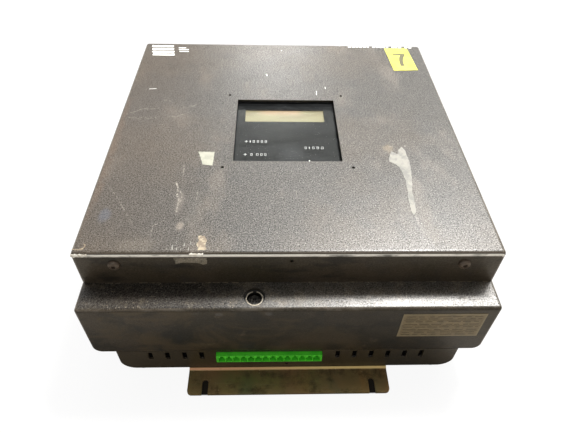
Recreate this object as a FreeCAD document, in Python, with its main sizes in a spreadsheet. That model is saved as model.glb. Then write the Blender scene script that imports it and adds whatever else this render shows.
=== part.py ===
import FreeCAD, Part
import os
import math
import Sketcher

# Charge controller: wall-mounting sheet-steel case with a lift-off display
# lid, a lower housing with a front shelf, a narrower base pan and two
# passivated mounting brackets.
# Frame: +Z out of the display face, -Y (front) towards the terminal end,
# +X right. Origin: centre of the footprint on the mounting plane (bracket
# undersides). Units: millimetres.

V = FreeCAD.Vector
doc = FreeCAD.newDocument("charge_controller")

# ---------------------------------------------------------------- dimensions
# Driving dimensions, alias: value. Each one becomes a spreadsheet row.
DIM = {
    # case, lid and base pan
    "case_w": 266.4, "case_len": 287.0, "sheet_t": 1.5,
    "lid_len": 266.0, "lid_top": 106.0, "shelf_z": 77.5,
    "house_z": 26.4, "bend_lid": 3.0, "bend_case": 2.5, "roll_case": 6.5,
    "pan_w": 236.8, "pan_len": 285.4, "pan_z": 3.0, "pan_bend": 10.0,
    # collar under the lid and the lid screws
    "collar_gap": 0.5, "collar_top": 90.0, "tab_top": 101.5,
    "lid_screw_x": 108.5, "lid_screw_z": 96.0, "screw_hole": 2.2,
    # lid window and the four small holes round it
    "win_w": 80.0, "win_cx": -0.3, "win_cy": 4.9, "dot_pitch": 94.0, "dot_rad": 1.2,
    # mounting brackets
    "plate_w": 142.5, "plate_t": 2.0, "plate_out": 19.0,
    "plate_slot_x": 59.0, "plate_slot_r": 2.2, "plate_slot_len": 11.0,
    # vents in the pan's front wall
    "vent_w": 3.2, "vent_h": 8.8, "vent_z": 15.6,
    # main board, terminal header, round socket
    "pcb_t": 1.6, "board_z": 13.8, "board_w": 216.0, "board_len": 236.0, "board_y": -22.5,
    "pole_pitch": 5.08, "pole_n": 14.0, "head_w": 73.5, "head_h": 8.6,
    "head_dep": 12.0, "head_x": -13.75, "head_front": -145.5,
    "din_x": -23.0, "din_y": -133.9, "din_hole": 6.8,
    # display
    "lcd_cx": -1.3, "lcd_cy": 29.4, "lcd_w": 64.8, "lcd_len": 17.0,
    "disp_z": 84.0, "disp_w": 120.0, "post_pitch": 112.0,
    # label, tag and feet
    "label_w": 54.0, "label_len": 26.6, "tag_w": 22.5, "tag_len": 42.0,
    "foot_h": 3.0, "foot_r": 8.8,
    # larger components
    "sink_h": 40.0, "sink_w": 36.0, "sink_len": 120.0,
    "cap_r": 9.0, "cap_h": 36.0, "fuse_r": 3.2, "fuse_len": 32.0,
}
sheet = doc.addObject("Spreadsheet::Sheet", "dims")
sheet.Label = "dims"
for row, (alias, value) in enumerate(DIM.items(), start=1):
    sheet.set("A%d" % row, alias)
    sheet.set("B%d" % row, repr(value))
    sheet.setAlias("B%d" % row, alias)
doc.recompute()

# Levels and places that several parts share
SIDES = (-1, 1)
CORNERS = [(side, end) for side in SIDES for end in SIDES]
BOARD_TOP = DIM["board_z"] + DIM["pcb_t"]
DISPLAY_TOP = DIM["disp_z"] + DIM["pcb_t"]
LID_REAR = DIM["case_len"] / 2
LID_FRONT = LID_REAR - DIM["lid_len"]
COLLAR_FRONT = LID_FRONT + DIM["sheet_t"] + DIM["collar_gap"]
COLLAR_REAR = LID_REAR - DIM["sheet_t"] - DIM["collar_gap"]
SHELL_RIVETS = [(side * 113.8, y) for side in SIDES for y in (-105.0, -35.0, 35.0, 105.0)]
SHELL_RIVET_HOLE_R = 1.6
BRACKET_RIVET_X = (-50.0, 0.0, 50.0)
BRACKET_RIVET_Y = 133.0
BRACKET_RIVETS = [(x, end * BRACKET_RIVET_Y) for end in SIDES for x in BRACKET_RIVET_X]
BOARD_POSTS = [(side * 100.0, y) for side in SIDES for y in (-98.0, 4.0, 106.0)]
DISPLAY_POSTS = [(side * DIM["post_pitch"] / 2, end * DIM["post_pitch"] / 2)
                 for side, end in CORNERS]
LCD_POSTS = [(side * 37.5, end * 15.5) for side, end in CORNERS]
POLE_X = [DIM["head_x"] + DIM["pole_pitch"] * (k + 0.5 - DIM["pole_n"] / 2)
          for k in range(int(DIM["pole_n"]))]
HEX_ROUND = 1 / math.sqrt(3)  # corner radius of a hexagon one unit across flats

# ------------------------------------------------------------ solid helpers
# A size or place is a number, or a formula over the sheet's aliases.
TURN = {  # rotation that lays a solid's own Z along the named direction
    "z": FreeCAD.Rotation(),
    "-z": FreeCAD.Rotation(V(1, 0, 0), 180),
    "y": FreeCAD.Rotation(V(1, 0, 0), -90),
    "-y": FreeCAD.Rotation(V(1, 0, 0), 90),
    "x": FreeCAD.Rotation(V(0, 1, 0), 90),
}


def formula(value):
    """Expression text in which each alias refers to the sheet."""
    text = str(value)
    for mark in "()+-*/":
        text = text.replace(mark, " %s " % mark)
    return " ".join("dims." + word if word in DIM else word for word in text.split())


def bind(obj, prop, value):
    if isinstance(value, str):
        obj.setExpression(prop, formula(value))
    else:
        setattr(obj, prop, value)


def place(obj, *spot):
    if any(isinstance(value, str) for value in spot):
        for axis, value in zip("xyz", spot):
            obj.setExpression("Placement.Base." + axis, formula(value))
    else:
        obj.Placement.Base = V(*spot)


def solid(kind, spot, axis="z", **sizes):
    """Part primitive with its sizes, direction and place."""
    obj = doc.addObject("Part::" + kind, kind)
    for prop, value in sizes.items():
        bind(obj, prop, value)
    obj.Placement.Rotation = TURN[axis]
    place(obj, *spot)
    return obj


def box(x, y, z, width, length, height):
    """Box from its low corner: width in X, length in Y."""
    return solid("Box", (x, y, z), Length=width, Width=length, Height=height)


def low_edge(middle, size):
    if isinstance(middle, str) or isinstance(size, str):
        return f"{middle}-({size})/2"
    return middle - size / 2


def block(x, y, z, width, length, height):
    """Box centred on x and y, standing on z."""
    return box(low_edge(x, width), low_edge(y, length), z, width, length, height)


def cyl(x, y, z, radius, height, axis="z"):
    return solid("Cylinder", (x, y, z), axis, Radius=radius, Height=height)


def hexagon(x, y, z, across_flats, height, axis="z"):
    return solid("Prism", (x, y, z), axis, Polygon=6,
                 Circumradius=across_flats * HEX_ROUND, Height=height)


def torus(x, y, z, ring_radius, tube_radius):
    return solid("Torus", (x, y, z), Radius1=ring_radius, Radius2=tube_radius)


def fuse(*objs):
    joined = doc.addObject("Part::MultiFuse", "fusion")
    joined.Shapes = list(objs)
    return joined


def group(objs):
    compound = doc.addObject("Part::Compound", "group")
    compound.Links = list(objs)
    return compound


def cut(base, *tools):
    result = doc.addObject("Part::Cut", "difference")
    result.Base = base
    result.Tool = tools[0] if len(tools) == 1 else fuse(*tools)
    return result


def fillet(base, radius, pick):
    """Round the edges whose midpoint and direction pick() accepts.

    The direction of a curved edge is the zero vector.
    """
    doc.recompute()
    rows = []
    for i, edge in enumerate(base.Shape.Edges, start=1):
        if edge.Length < 1e-6:
            continue
        first, last = edge.ParameterRange
        way = V(0, 0, 0)
        if edge.Curve.TypeId == "Part::GeomLine":
            way = (edge.valueAt(last) - edge.valueAt(first)).normalize()
        if pick(edge.valueAt((first + last) / 2), way):
            rows.append((i, radius, radius))
    if not rows:
        raise SystemExit("no edge to round on " + base.Name)
    rounded = doc.addObject("Part::Fillet", "rounded")
    rounded.Base = base
    rounded.Edges = rows
    return rounded


def feature(shape):
    obj = doc.addObject("Part::Feature", "fixed")
    obj.Shape = shape
    return obj


def spline(points):
    curve = Part.BSplineCurve()
    curve.interpolate(points)
    return curve


# Edge choices for fillet()
def upright(mid, way):
    return abs(way.z) > 0.9


def rims(mid, way):
    return way.Length < 0.5


def rims_above(level):
    return lambda mid, way: rims(mid, way) and mid.z > level


def rims_below(level):
    return lambda mid, way: rims(mid, way) and mid.z < level


def upright_or_above(level):
    return lambda mid, way: upright(mid, way) or mid.z > level


def lengthwise_below(level):
    return lambda mid, way: abs(way.y) > 0.9 and mid.z < level


# ------------------------------------------------- PartDesign body helpers
def new_body():
    return doc.addObject("PartDesign::Body", "body")


def sketch(body, role, offset=0.0):
    """Sketch on one of the body's own origin planes."""
    drawing = body.newObject("Sketcher::SketchObject", "sketch")
    plane = next(f for f in body.Origin.OriginFeatures if f.Role == role)
    drawing.AttachmentSupport = [(plane, "")]
    drawing.MapMode = "FlatFace"
    drawing.AttachmentOffset = FreeCAD.Placement(V(0, 0, offset), FreeCAD.Rotation())
    return drawing


def draw_loop(drawing, points):
    """Closed run of lines through the points, joined end to start."""
    ends = [V(x, y, 0) for x, y in points]
    lines = [drawing.addGeometry(Part.LineSegment(a, b), False)
             for a, b in zip(ends, ends[1:] + ends[:1])]
    for a, b in zip(lines, lines[1:] + lines[:1]):
        drawing.addConstraint(Sketcher.Constraint("Coincident", a, 2, b, 1))
    return lines


def draw_outline(drawing, points):
    for line in draw_loop(drawing, points):
        drawing.addConstraint(Sketcher.Constraint("Block", line))


def draw_rectangle(drawing, width, length, on_x_axis=False):
    """Driven rectangle centred on the origin, or standing on the X axis."""
    half_w, size_y = DIM.get(width, width) / 2, DIM.get(length, length)
    low = 0.0 if on_x_axis else -size_y / 2
    high = low + size_y
    lines = draw_loop(drawing, [(-half_w, low), (half_w, low), (half_w, high), (-half_w, high)])
    bottom, right, top, left = lines

    def constrain(*args):
        return drawing.addConstraint(Sketcher.Constraint(*args))

    constrain("Horizontal", bottom)
    constrain("Horizontal", top)
    constrain("Vertical", right)
    constrain("Vertical", left)
    across = constrain("DistanceX", bottom, 1, bottom, 2, 2 * half_w)
    along = constrain("DistanceY", right, 1, right, 2, size_y)
    if on_x_axis:
        constrain("DistanceX", -1, 1, bottom, 1, -half_w)
        constrain("DistanceY", -1, 1, bottom, 1, 0.0)
    else:
        constrain("Symmetric", bottom, 1, right, 1 + 1, -1, 1)
    for index, size in ((across, width), (along, length)):
        if isinstance(size, str):
            bind(drawing, "Constraints[%d]" % index, size)


def draw_circle(drawing, x, y, radius):
    ring = drawing.addGeometry(Part.Circle(V(x, y, 0), V(0, 0, 1), radius), False)
    drawing.addConstraint(Sketcher.Constraint("DistanceX", -1, 1, ring, 3, x))
    drawing.addConstraint(Sketcher.Constraint("DistanceY", -1, 1, ring, 3, y))
    drawing.addConstraint(Sketcher.Constraint("Radius", ring, radius))


def add_step(body, kind, profile, **settings):
    """Pad or pocket of a sketch."""
    step = body.newObject("PartDesign::" + kind, kind)
    step.Profile = profile
    for prop, value in settings.items():
        bind(step, prop, value)
    doc.recompute()
    return step


def circuit_board(width, length, holes, spot):
    """Board with round holes (x, y, radius) measured from its centre."""
    body = new_body()
    outline = sketch(body, "XY_Plane")
    draw_rectangle(outline, width, length)
    for x, y, radius in holes:
        draw_circle(outline, x, y, radius)
    add_step(body, "Pad", outline, Length="pcb_t")
    place(body, *spot)
    return body


# ---------------------------------------------------------- shared fittings
def pan_screw(x, y, z, axis, shank, head_r=2.8, head_h=1.9, shank_r=1.47):
    """Cross-slot screw, head towards axis (z or -z), seat under the head at z."""
    up = 1 if axis == "z" else -1
    slot_w, slot_len, slot_depth, tool_h = 0.6, 3.2, 0.9, 2
    head = fillet(cyl(x, y, z, head_r, head_h, axis), head_h * 0.55,
                  lambda mid, way: rims(mid, way) and (mid.z - z) * up > head_h - 0.01)
    body = fuse(head, cyl(x, y, z, shank_r, shank, "-z" if up > 0 else "z"))
    slot_z = z + up * (head_h - slot_depth) - (0 if up > 0 else tool_h)
    return cut(body,
               block(x, y, slot_z, slot_len, slot_w, tool_h),
               block(x, y, slot_z, slot_w, slot_len, tool_h))


def button_screw(x, y, z, out):
    """Hex-socket button head facing out (-1 front, +1 rear), seat at y."""
    head_axis, shank_axis = ("-y", "y") if out < 0 else ("y", "-y")
    head = fillet(cyl(x, y, z, 3.8, 2.2, head_axis), 1.9,
                  lambda mid, way: rims(mid, way) and (mid.y - y) * out > 2.1)
    body = fuse(head, cyl(x, y, z, 1.95, 9.0, shank_axis))
    return cut(body, hexagon(x, y + out * 1.0, z, 2.5, 2.0, head_axis))


def hex_nut(x, y, z, facing):
    axis = "y" if facing > 0 else "-y"
    height = 3.2
    return cut(hexagon(x, y, z, 7.0, height, axis),
               cyl(x, y - facing, z, 2.0, height + 2, axis))


def chip(x, y, z, length, width, pins, along="x", body_h=3.4):
    """Dual-in-line package: chamfered body, end notch, a row of legs each side."""
    body_z, pitch, reach = 0.9, 2.54, 1.0
    leg_w, leg_t, shoulder_w = 0.6, 0.3, 1.2
    top = body_z + body_h
    body = Part.makeBox(length, width, body_h, V(-length / 2, -width / 2, body_z))
    top_edges = [e for e in body.Edges if abs(e.CenterOfMass.z - top) < 0.01]
    body = body.makeChamfer(0.35, top_edges)
    body = body.cut(Part.makeCylinder(0.9, 0.8, V(-length / 2, 0, top - 0.5)))
    legs = []
    per_side = pins // 2
    shoulder_z = body_z + body_h / 2
    for k in range(per_side):
        leg_x = (k - (per_side - 1) / 2) * pitch
        for side in SIDES:
            near = width / 2 if side > 0 else -width / 2 - reach
            outer = width / 2 + reach - leg_t if side > 0 else -width / 2 - reach
            shoulder = Part.makeBox(shoulder_w, reach, leg_t,
                                    V(leg_x - shoulder_w / 2, near, shoulder_z))
            down = Part.makeBox(leg_w, leg_t, shoulder_z, V(leg_x - leg_w / 2, outer, 0.0))
            legs.append(shoulder.fuse(down))
    shape = body.multiFuse(legs)
    if along == "y":
        shape.rotate(V(0, 0, 0), V(0, 0, 1), 90)
    shape.translate(V(x, y, z))
    return shape


# A function marked @part builds one exported part and names it.
BUILDERS = []


def part(build):
    BUILDERS.append(build)
    return build


# ======================================================= base pan and feet
@part
def base_pan():
    """Pressed tray, rounded long bottom edges, inward return flanges on top."""
    outer = fillet(
        box("-pan_w/2", "-pan_len/2", "pan_z", "pan_w", "pan_len", "house_z-pan_z"),
        DIM["pan_bend"], lengthwise_below(5))
    inner = fillet(
        box("-pan_w/2+sheet_t", "-pan_len/2+sheet_t", "pan_z+sheet_t",
            "pan_w-2*sheet_t", "pan_len-2*sheet_t", "house_z-pan_z"),
        DIM["pan_bend"] - DIM["sheet_t"], lengthwise_below(6))
    flange_w, flange_len = 9.75, 250
    flange_y, flange_z = -flange_len / 2, "house_z-sheet_t"
    tray = fuse(
        cut(outer, inner),
        box("-pan_w/2+sheet_t/2", flange_y, flange_z, flange_w, flange_len, "sheet_t"),
        box(f"pan_w/2-sheet_t/2-{flange_w}", flange_y, flange_z,
            flange_w, flange_len, "sheet_t"))
    # front wall: ten vents, the header opening and a small round hole
    before_wall, tool_len = "-pan_len/2-1", 4
    vent_pitch = 11.8
    vents = [-96.2 + vent_pitch * k for k in range(4)] + [34.3 + vent_pitch * k for k in range(6)]
    tools = [box("%r-vent_w/2" % x, before_wall, "vent_z", "vent_w", tool_len, "vent_h")
             for x in vents]
    tools.append(box("head_x-head_w/2-0.4", before_wall, 14.9, "head_w+0.8", tool_len, 9.6))
    tools.append(cyl(-1.5, before_wall, 7.2, 1.1, tool_len, "y"))
    # rivet holes in the flanges and the floor
    tools += [cyl(x, y, "house_z-3", SHELL_RIVET_HOLE_R, 4) for x, y in SHELL_RIVETS]
    tools += [cyl(x, y, 2, 2.1, 4) for x, y in BRACKET_RIVETS]
    return cut(tray, *tools)


def bracket(end):
    """Steel bracket at the front (-1) or rear (+1): a root under the pan, a
    1 mm joggle at its end wall and a flat ear with two open-ended slots."""
    body = new_body()
    width, thick = DIM["plate_w"], DIM["plate_t"]
    wall = DIM["pan_len"] / 2
    bend = wall + 0.8
    tip = bend + DIM["plate_out"]
    root, root_z = 118.0, 1.0
    # section as (distance from the centre, z)
    section = [(root, root_z), (wall, root_z), (bend + 1.2, 0.0), (tip, 0.0),
               (tip, thick), (bend + 1.6, thick), (bend - 0.3, thick + root_z),
               (root, thick + root_z)]
    profile = sketch(body, "YZ_Plane", -width / 2)
    draw_outline(profile, [(end * y, z) for y, z in section])
    add_step(body, "Pad", profile, Length="plate_w")

    holes = sketch(body, "XY_Plane")
    radius = DIM["plate_slot_r"]
    arc_y = end * (tip - DIM["plate_slot_len"] + radius)
    mouth_y = end * (tip + 3)
    arc_start = 0 if end < 0 else math.pi
    for x in (-DIM["plate_slot_x"], DIM["plate_slot_x"]):
        left, right = x - radius, x + radius
        circle = Part.Circle(V(x, arc_y, 0), V(0, 0, 1), radius)
        pieces = [
            Part.LineSegment(V(left, mouth_y, 0), V(left, arc_y, 0)),
            Part.ArcOfCircle(circle, arc_start, arc_start + math.pi),
            Part.LineSegment(V(right, arc_y, 0), V(right, mouth_y, 0)),
            Part.LineSegment(V(right, mouth_y, 0), V(left, mouth_y, 0)),
        ]
        for index in [holes.addGeometry(piece, False) for piece in pieces]:
            holes.addConstraint(Sketcher.Constraint("Block", index))
    for x in BRACKET_RIVET_X:
        draw_circle(holes, x, end * BRACKET_RIVET_Y, 1.65)
    through_all = 1
    pierced = add_step(body, "Pocket", holes, Type=through_all, Midplane=True)

    # the two outer corners of the ear
    corners = []
    for i, edge in enumerate(pierced.Shape.Edges, start=1):
        centre = edge.CenterOfMass
        gaps = (abs(centre.x) - width / 2, abs(centre.y) - tip, edge.Length - thick)
        if all(abs(gap) < 0.01 for gap in gaps):
            corners.append("Edge%d" % i)
    rounded = body.newObject("PartDesign::Fillet", "rounding")
    rounded.Base = (pierced, corners)
    rounded.Radius = 3.0
    doc.recompute()
    body.Tip = rounded
    return body


@part
def mounting_bracket_front():
    return bracket(-1)


@part
def mounting_bracket_rear():
    return bracket(1)


@part
def bracket_rivets():
    """Rivets through bracket and pan floor, heads inside the pan."""
    return group([
        fuse(cyl(x, y, 1.0, 1.62, 3.6),
             fillet(cyl(x, y, 4.52, 3.0, 1.3), 0.6, rims_above(5.8)))
        for x, y in BRACKET_RIVETS])


@part
def rubber_feet():
    return group([
        fillet(solid("Cone", (side * 105.0, end * 133.4, 0.0), Radius1=DIM["foot_r"] - 0.8,
                     Radius2=DIM["foot_r"], Height=DIM["foot_h"]),
               0.6, rims_below(0.1))
        for side, end in CORNERS])


# ========================================================== housing and lid
@part
def housing_shell():
    """Shell with side walls rolled in below, open under the lid, and a collar."""
    sheet_t, roll, bend = DIM["sheet_t"], DIM["roll_case"], DIM["bend_case"]
    base_z, shelf_z = DIM["house_z"], DIM["shelf_z"]
    outer = fillet(
        box("-case_w/2", "-case_len/2", "house_z", "case_w", "case_len", "shelf_z-house_z"),
        roll, lengthwise_below(base_z + 0.1))
    outer = fillet(outer, bend, upright_or_above(shelf_z - 0.1))
    inner = fillet(
        box("-case_w/2+sheet_t", "-case_len/2+sheet_t", "house_z+sheet_t",
            "case_w-2*sheet_t", "case_len-2*sheet_t", "shelf_z-house_z-2*sheet_t"),
        roll - sheet_t, lengthwise_below(base_z + 2))
    inner = fillet(inner, bend - sheet_t, upright_or_above(shelf_z - 2))
    shell = cut(outer, inner)

    def collar_bore(height):
        return box("-(case_w/2-2*sheet_t-collar_gap)",
                   "case_len/2-lid_len+2*sheet_t+collar_gap", "shelf_z-sheet_t-1",
                   "case_w-4*sheet_t-2*collar_gap", "lid_len-4*sheet_t-2*collar_gap", height)

    collar = cut(
        box("-(case_w/2-sheet_t-collar_gap)",
            "case_len/2-lid_len+sheet_t+collar_gap", "shelf_z-sheet_t",
            "case_w-2*sheet_t-2*collar_gap", "lid_len-2*sheet_t-2*collar_gap",
            "collar_top-shelf_z+sheet_t"),
        collar_bore("collar_top-shelf_z+sheet_t+2"))
    # openings inside the collar and in the floor
    shell = cut(shell, collar_bore(4), block(0, 0, "house_z-1", 218, 262, 4))

    # screw tabs standing on the collar, slotted from the top
    tab_w = 24
    pieces = [shell, collar]
    tools = [cyl("din_x", "din_y", 70, "din_hole", 12)]
    for side in SIDES:
        x = side * DIM["lid_screw_x"]
        for y in (COLLAR_FRONT, COLLAR_REAR - sheet_t):
            pieces.append(box(x - tab_w / 2, y, "collar_top-2",
                              tab_w, "sheet_t", "tab_top-collar_top+2"))
            tools.append(cyl(x, y - 1, "lid_screw_z", "screw_hole", 3.5, "y"))
            tools.append(box(x - 2.2, y - 1, "lid_screw_z", 4.4, 3.5, 12))
    tools += [cyl(x, y, "house_z-1", SHELL_RIVET_HOLE_R, 4) for x, y in SHELL_RIVETS]
    return cut(fuse(*pieces), *tools)


@part
def shell_rivets():
    """Rivets joining the pan's return flanges to the housing's base flange."""
    head_r, head_h, rounding = 3.0, 1.1, 0.5
    base_z = DIM["house_z"]
    return group([
        fuse(fillet(cyl(x, y, "house_z-sheet_t", head_r, head_h, "-z"),
                    rounding, rims_below(base_z - 2.5)),
             cyl(x, y, "house_z-1.6", 1.57, 3.2),
             fillet(cyl(x, y, "house_z+sheet_t", head_r, head_h),
                    rounding, rims_above(base_z + 2.5)))
        for x, y in SHELL_RIVETS])


@part
def lid():
    outer = fillet(
        box("-case_w/2", "case_len/2-lid_len", "shelf_z", "case_w", "lid_len", "lid_top-shelf_z"),
        DIM["bend_lid"], upright_or_above(DIM["lid_top"] - 0.1))
    inner = fillet(
        box("-case_w/2+sheet_t", "case_len/2-lid_len+sheet_t", "shelf_z-1",
            "case_w-2*sheet_t", "lid_len-2*sheet_t", "lid_top-shelf_z-sheet_t+1"),
        DIM["bend_lid"] - DIM["sheet_t"], upright_or_above(DIM["lid_top"] - 2))
    window = fillet(block("win_cx", "win_cy", "lid_top-4", "win_w", "win_w", 8), 0.6, upright)
    tools = [inner, window]
    for side in SIDES:
        for end in SIDES:
            tools.append(cyl(f"win_cx+{side}*dot_pitch/2", f"win_cy+{end}*dot_pitch/2",
                             "lid_top-4", "dot_rad", 8))
        for y in (LID_FRONT - 1, LID_REAR - 3):
            tools.append(cyl(side * DIM["lid_screw_x"], y, "lid_screw_z", "screw_hole", 4, "y"))
    # small hole near the middle of the front flange
    tools.append(cyl(0.2, LID_FRONT - 1, 99.0, 1.2, 4, "y"))
    return cut(outer, *tools)


@part
def lid_screws():
    return group([button_screw(side * DIM["lid_screw_x"], y, DIM["lid_screw_z"], out)
                  for y, out in ((LID_FRONT, -1), (LID_REAR, 1)) for side in SIDES])


@part
def lid_nuts():
    offset = 1.7  # from the tab's outer face
    return group([hex_nut(side * DIM["lid_screw_x"], y, DIM["lid_screw_z"], facing)
                  for y, facing in ((COLLAR_FRONT + offset, 1), (COLLAR_REAR - offset, -1))
                  for side in SIDES])


# ========================================================= display assembly
PANE_W = 85.8
LCD_Z = 92.0
LCD_TOP = LCD_Z + DIM["pcb_t"]


def on_window(z, width, height):
    """Square block centred on the lid window."""
    return block("win_cx", "win_cy", z, width, width, height)


def on_lcd(z, width, length, height):
    return block("lcd_cx", "lcd_cy", z, width, length, height)


@part
def display_frame():
    """Moulded frame under the window opening, with a step for the pane."""
    return cut(on_window(97.0, 89, "lid_top-sheet_t-97"),
               on_window(95, 81.5, 12),
               on_window(95, 86, "lid_top-3-95"))


@part
def window_pane():
    top_edges = DIM["lid_top"] - 3.1
    return fillet(on_window("lid_top-5", PANE_W, 2), 0.3, lambda mid, way: mid.z > top_edges)


@part
def window_mask():
    """Thin mask behind the pane, open over the display."""
    return cut(on_window("lid_top-5.2", PANE_W, 0.2),
               on_lcd("lid_top-6", "lcd_w", "lcd_len", 2))


@part
def pane_gasket():
    return cut(on_window(97.2, PANE_W, 3.6), on_window(96, 77, 6))


@part
def lcd_frame():
    return cut(on_lcd(LCD_TOP, 72, 27, 7.1),
               on_lcd(93, "lcd_w", "lcd_len", 9),
               on_lcd(93, 70.4, 25.4, 7.1))


@part
def lcd_glass():
    return on_lcd(98.0, 70, 25, 2.0)


@part
def lcd_backlight():
    return on_lcd(93.7, 70, 25, 4.2)


@part
def lcd_board():
    return circuit_board(80, 36, [(x, y, 1.3) for x, y in LCD_POSTS],
                         ("lcd_cx", "lcd_cy", LCD_Z))


@part
def lcd_spacers():
    """Round spacers between the carrier board and the display module."""
    spots = [(DIM["lcd_cx"] + x, DIM["lcd_cy"] + y) for x, y in LCD_POSTS]
    return group([cut(cyl(x, y, DISPLAY_TOP, 2.4, LCD_Z - DISPLAY_TOP),
                      cyl(x, y, 88.0, 1.25, 6)) for x, y in spots])


@part
def lcd_screws():
    return group([pan_screw(DIM["lcd_cx"] + x, DIM["lcd_cy"] + y, LCD_TOP, "z", 5.0,
                            head_r=2.2, head_h=1.6, shank_r=1.2) for x, y in LCD_POSTS])


@part
def display_board():
    """Carrier board hung under the lid."""
    return circuit_board("disp_w", "disp_w", [(x, y, 1.6) for x, y in DISPLAY_POSTS],
                         ("win_cx", "win_cy", "disp_z"))


@part
def display_posts():
    """Hexagonal posts from the carrier board up to the lid."""
    height = DIM["lid_top"] - DIM["sheet_t"] - DISPLAY_TOP
    spots = [(DIM["win_cx"] + x, DIM["win_cy"] + y) for x, y in DISPLAY_POSTS]
    return group([cut(hexagon(x, y, DISPLAY_TOP, 5.5, height),
                      cyl(x, y, 85.0, 1.5, 8.6)) for x, y in spots])


@part
def display_screws():
    return group([pan_screw(DIM["win_cx"] + x, DIM["win_cy"] + y, DIM["disp_z"], "-z", 8.5)
                  for x, y in DISPLAY_POSTS])


@part
def status_lamps():
    """Three domed lamps, each on two wire legs."""
    radius, dome_z, leg_w = 1.5, 99.0, 0.5
    lamps = []
    for x, y in ((-9.5, -8.1), (-9.5, -23.9), (34.0, -15.7)):
        lamps.append(fuse(
            cyl(x, y, 95.8, radius, 3.2),
            cyl(x, y, 95.2, 1.9, 1.0),
            solid("Sphere", (x, y, dome_z), Radius=radius),
            box(x - radius, y - leg_w / 2, DISPLAY_TOP, leg_w, leg_w, 9.8),
            box(x + radius - leg_w, y - leg_w / 2, DISPLAY_TOP, leg_w, leg_w, 9.8)))
    return group(lamps)


TRIMMER_X, TRIMMER_Y = 48.0, -46.0
TRIMMER_WELL_Z = DISPLAY_TOP + 3.0


@part
def contrast_trimmer():
    """Square case with a round well for the rotor."""
    case = fillet(block(TRIMMER_X, TRIMMER_Y, DISPLAY_TOP, 6.8, 6.8, 5.0),
                  0.4, upright_or_above(90.5))
    return cut(case, cyl(TRIMMER_X, TRIMMER_Y, TRIMMER_WELL_Z, 2.25, 5))


@part
def trimmer_rotor():
    rotor = fillet(cyl(TRIMMER_X, TRIMMER_Y, TRIMMER_WELL_Z, 2.2, 2.6), 0.3, rims_above(91.1))
    return cut(rotor, block(TRIMMER_X, TRIMMER_Y, 90.5, 3.4, 0.6, 3))


@part
def alarm_sounder():
    x, y = -24, -44
    return cut(fillet(cyl(x, y, DISPLAY_TOP, 6.0, 8.0), 0.8, rims_above(93)),
               cyl(x, y, 92.0, 1.0, 4))


@part
def display_drivers():
    return feature(Part.makeCompound(
        [chip(x, 50, DISPLAY_TOP, length=19.3, width=6.4, pins=14) for x in (-20, 10)]))


# ================================================================ main board
PIN_TAIL_Y = DIM["head_front"] + 14.5


@part
def main_board():
    holes = [(x, y, 1.6) for x, y in BOARD_POSTS]
    holes += [(x, PIN_TAIL_Y - DIM["board_y"], 0.76) for x in POLE_X]
    return circuit_board("board_w", "board_len", holes, (0, "board_y", "board_z"))


@part
def board_standoffs():
    foot_z = 4.5
    spots = [(x, y + DIM["board_y"]) for x, y in BOARD_POSTS]
    return group([cut(hexagon(x, y, foot_z, 5.5, DIM["board_z"] - foot_z),
                      cyl(x, y, 6.0, 1.5, 9)) for x, y in spots])


@part
def board_screws():
    return group([pan_screw(x, y + DIM["board_y"], BOARD_TOP, "z", 8.0)
                  for x, y in BOARD_POSTS])


@part
def terminal_header():
    """One moulding with a row of open poles facing the front."""
    body = new_body()
    outline = sketch(body, "XZ_Plane")
    draw_rectangle(outline, "head_w", "head_h", on_x_axis=True)
    add_step(body, "Pad", outline, Length="head_dep", Reversed=True)

    # keyed mouth of the leftmost pole: (x from its centre, z), right-hand half
    half_mouth = [(2.17, 0.8), (2.17, 5.2), (1.45, 5.9), (0.95, 5.9), (0.95, 7.7)]
    first_x = POLE_X[0] - DIM["head_x"]
    mouth = sketch(body, "XZ_Plane")
    draw_outline(mouth, [(first_x + x, z) for x, z in half_mouth]
                 + [(first_x - x, z) for x, z in reversed(half_mouth)])
    pocket = add_step(body, "Pocket", mouth, Length=10.0)
    row = body.newObject("PartDesign::LinearPattern", "pole_row")
    row.Originals = [pocket]
    row.Direction = (mouth, ["H_Axis"])
    row.Length = DIM["pole_pitch"] * (DIM["pole_n"] - 1)
    row.Occurrences = int(DIM["pole_n"])
    body.Tip = row
    doc.recompute()
    place(body, "head_x", "head_front", "board_z+pcb_t")

    # square pin passages through the rear wall
    bore = 1.04
    return cut(body, *[box(x - bore / 2, DIM["head_front"] + 9.0, BOARD_TOP + 2.38,
                           bore, 4.0, bore) for x in POLE_X])


@part
def header_pins():
    """Bent pins: a level run out of the pole and a tail through the board."""
    thick = 1.0
    return group([
        fuse(box(x - thick / 2, DIM["head_front"] + 3.0, BOARD_TOP + 2.4, thick, 12.0, thick),
             block(x, PIN_TAIL_Y, BOARD_TOP - 3.2, thick, thick, 6.6))
        for x in POLE_X])


# Round signal socket under the shelf
SOCKET_X, SOCKET_Y = DIM["din_x"], DIM["din_y"]
SOCKET_FLOOR_Z = 72.2


@part
def socket_body():
    case = fillet(block(SOCKET_X, SOCKET_Y, 63.0, 14.4, 14.0, 13.0), 0.5, upright)
    return cut(case, cyl(SOCKET_X, SOCKET_Y, SOCKET_FLOOR_Z, 5.6, 8.0))


@part
def socket_shield():
    """Round sleeve with a notch at the rear of its rim."""
    sleeve = fillet(cyl(SOCKET_X, SOCKET_Y, SOCKET_FLOOR_Z, 5.55, 3.9), 0.2, rims_above(76))
    return cut(sleeve, cyl(SOCKET_X, SOCKET_Y, 71, 4.85, 8),
               box(SOCKET_X - 1.2, SOCKET_Y + 4.5, 74.6, 2.4, 2.0, 4))


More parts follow.
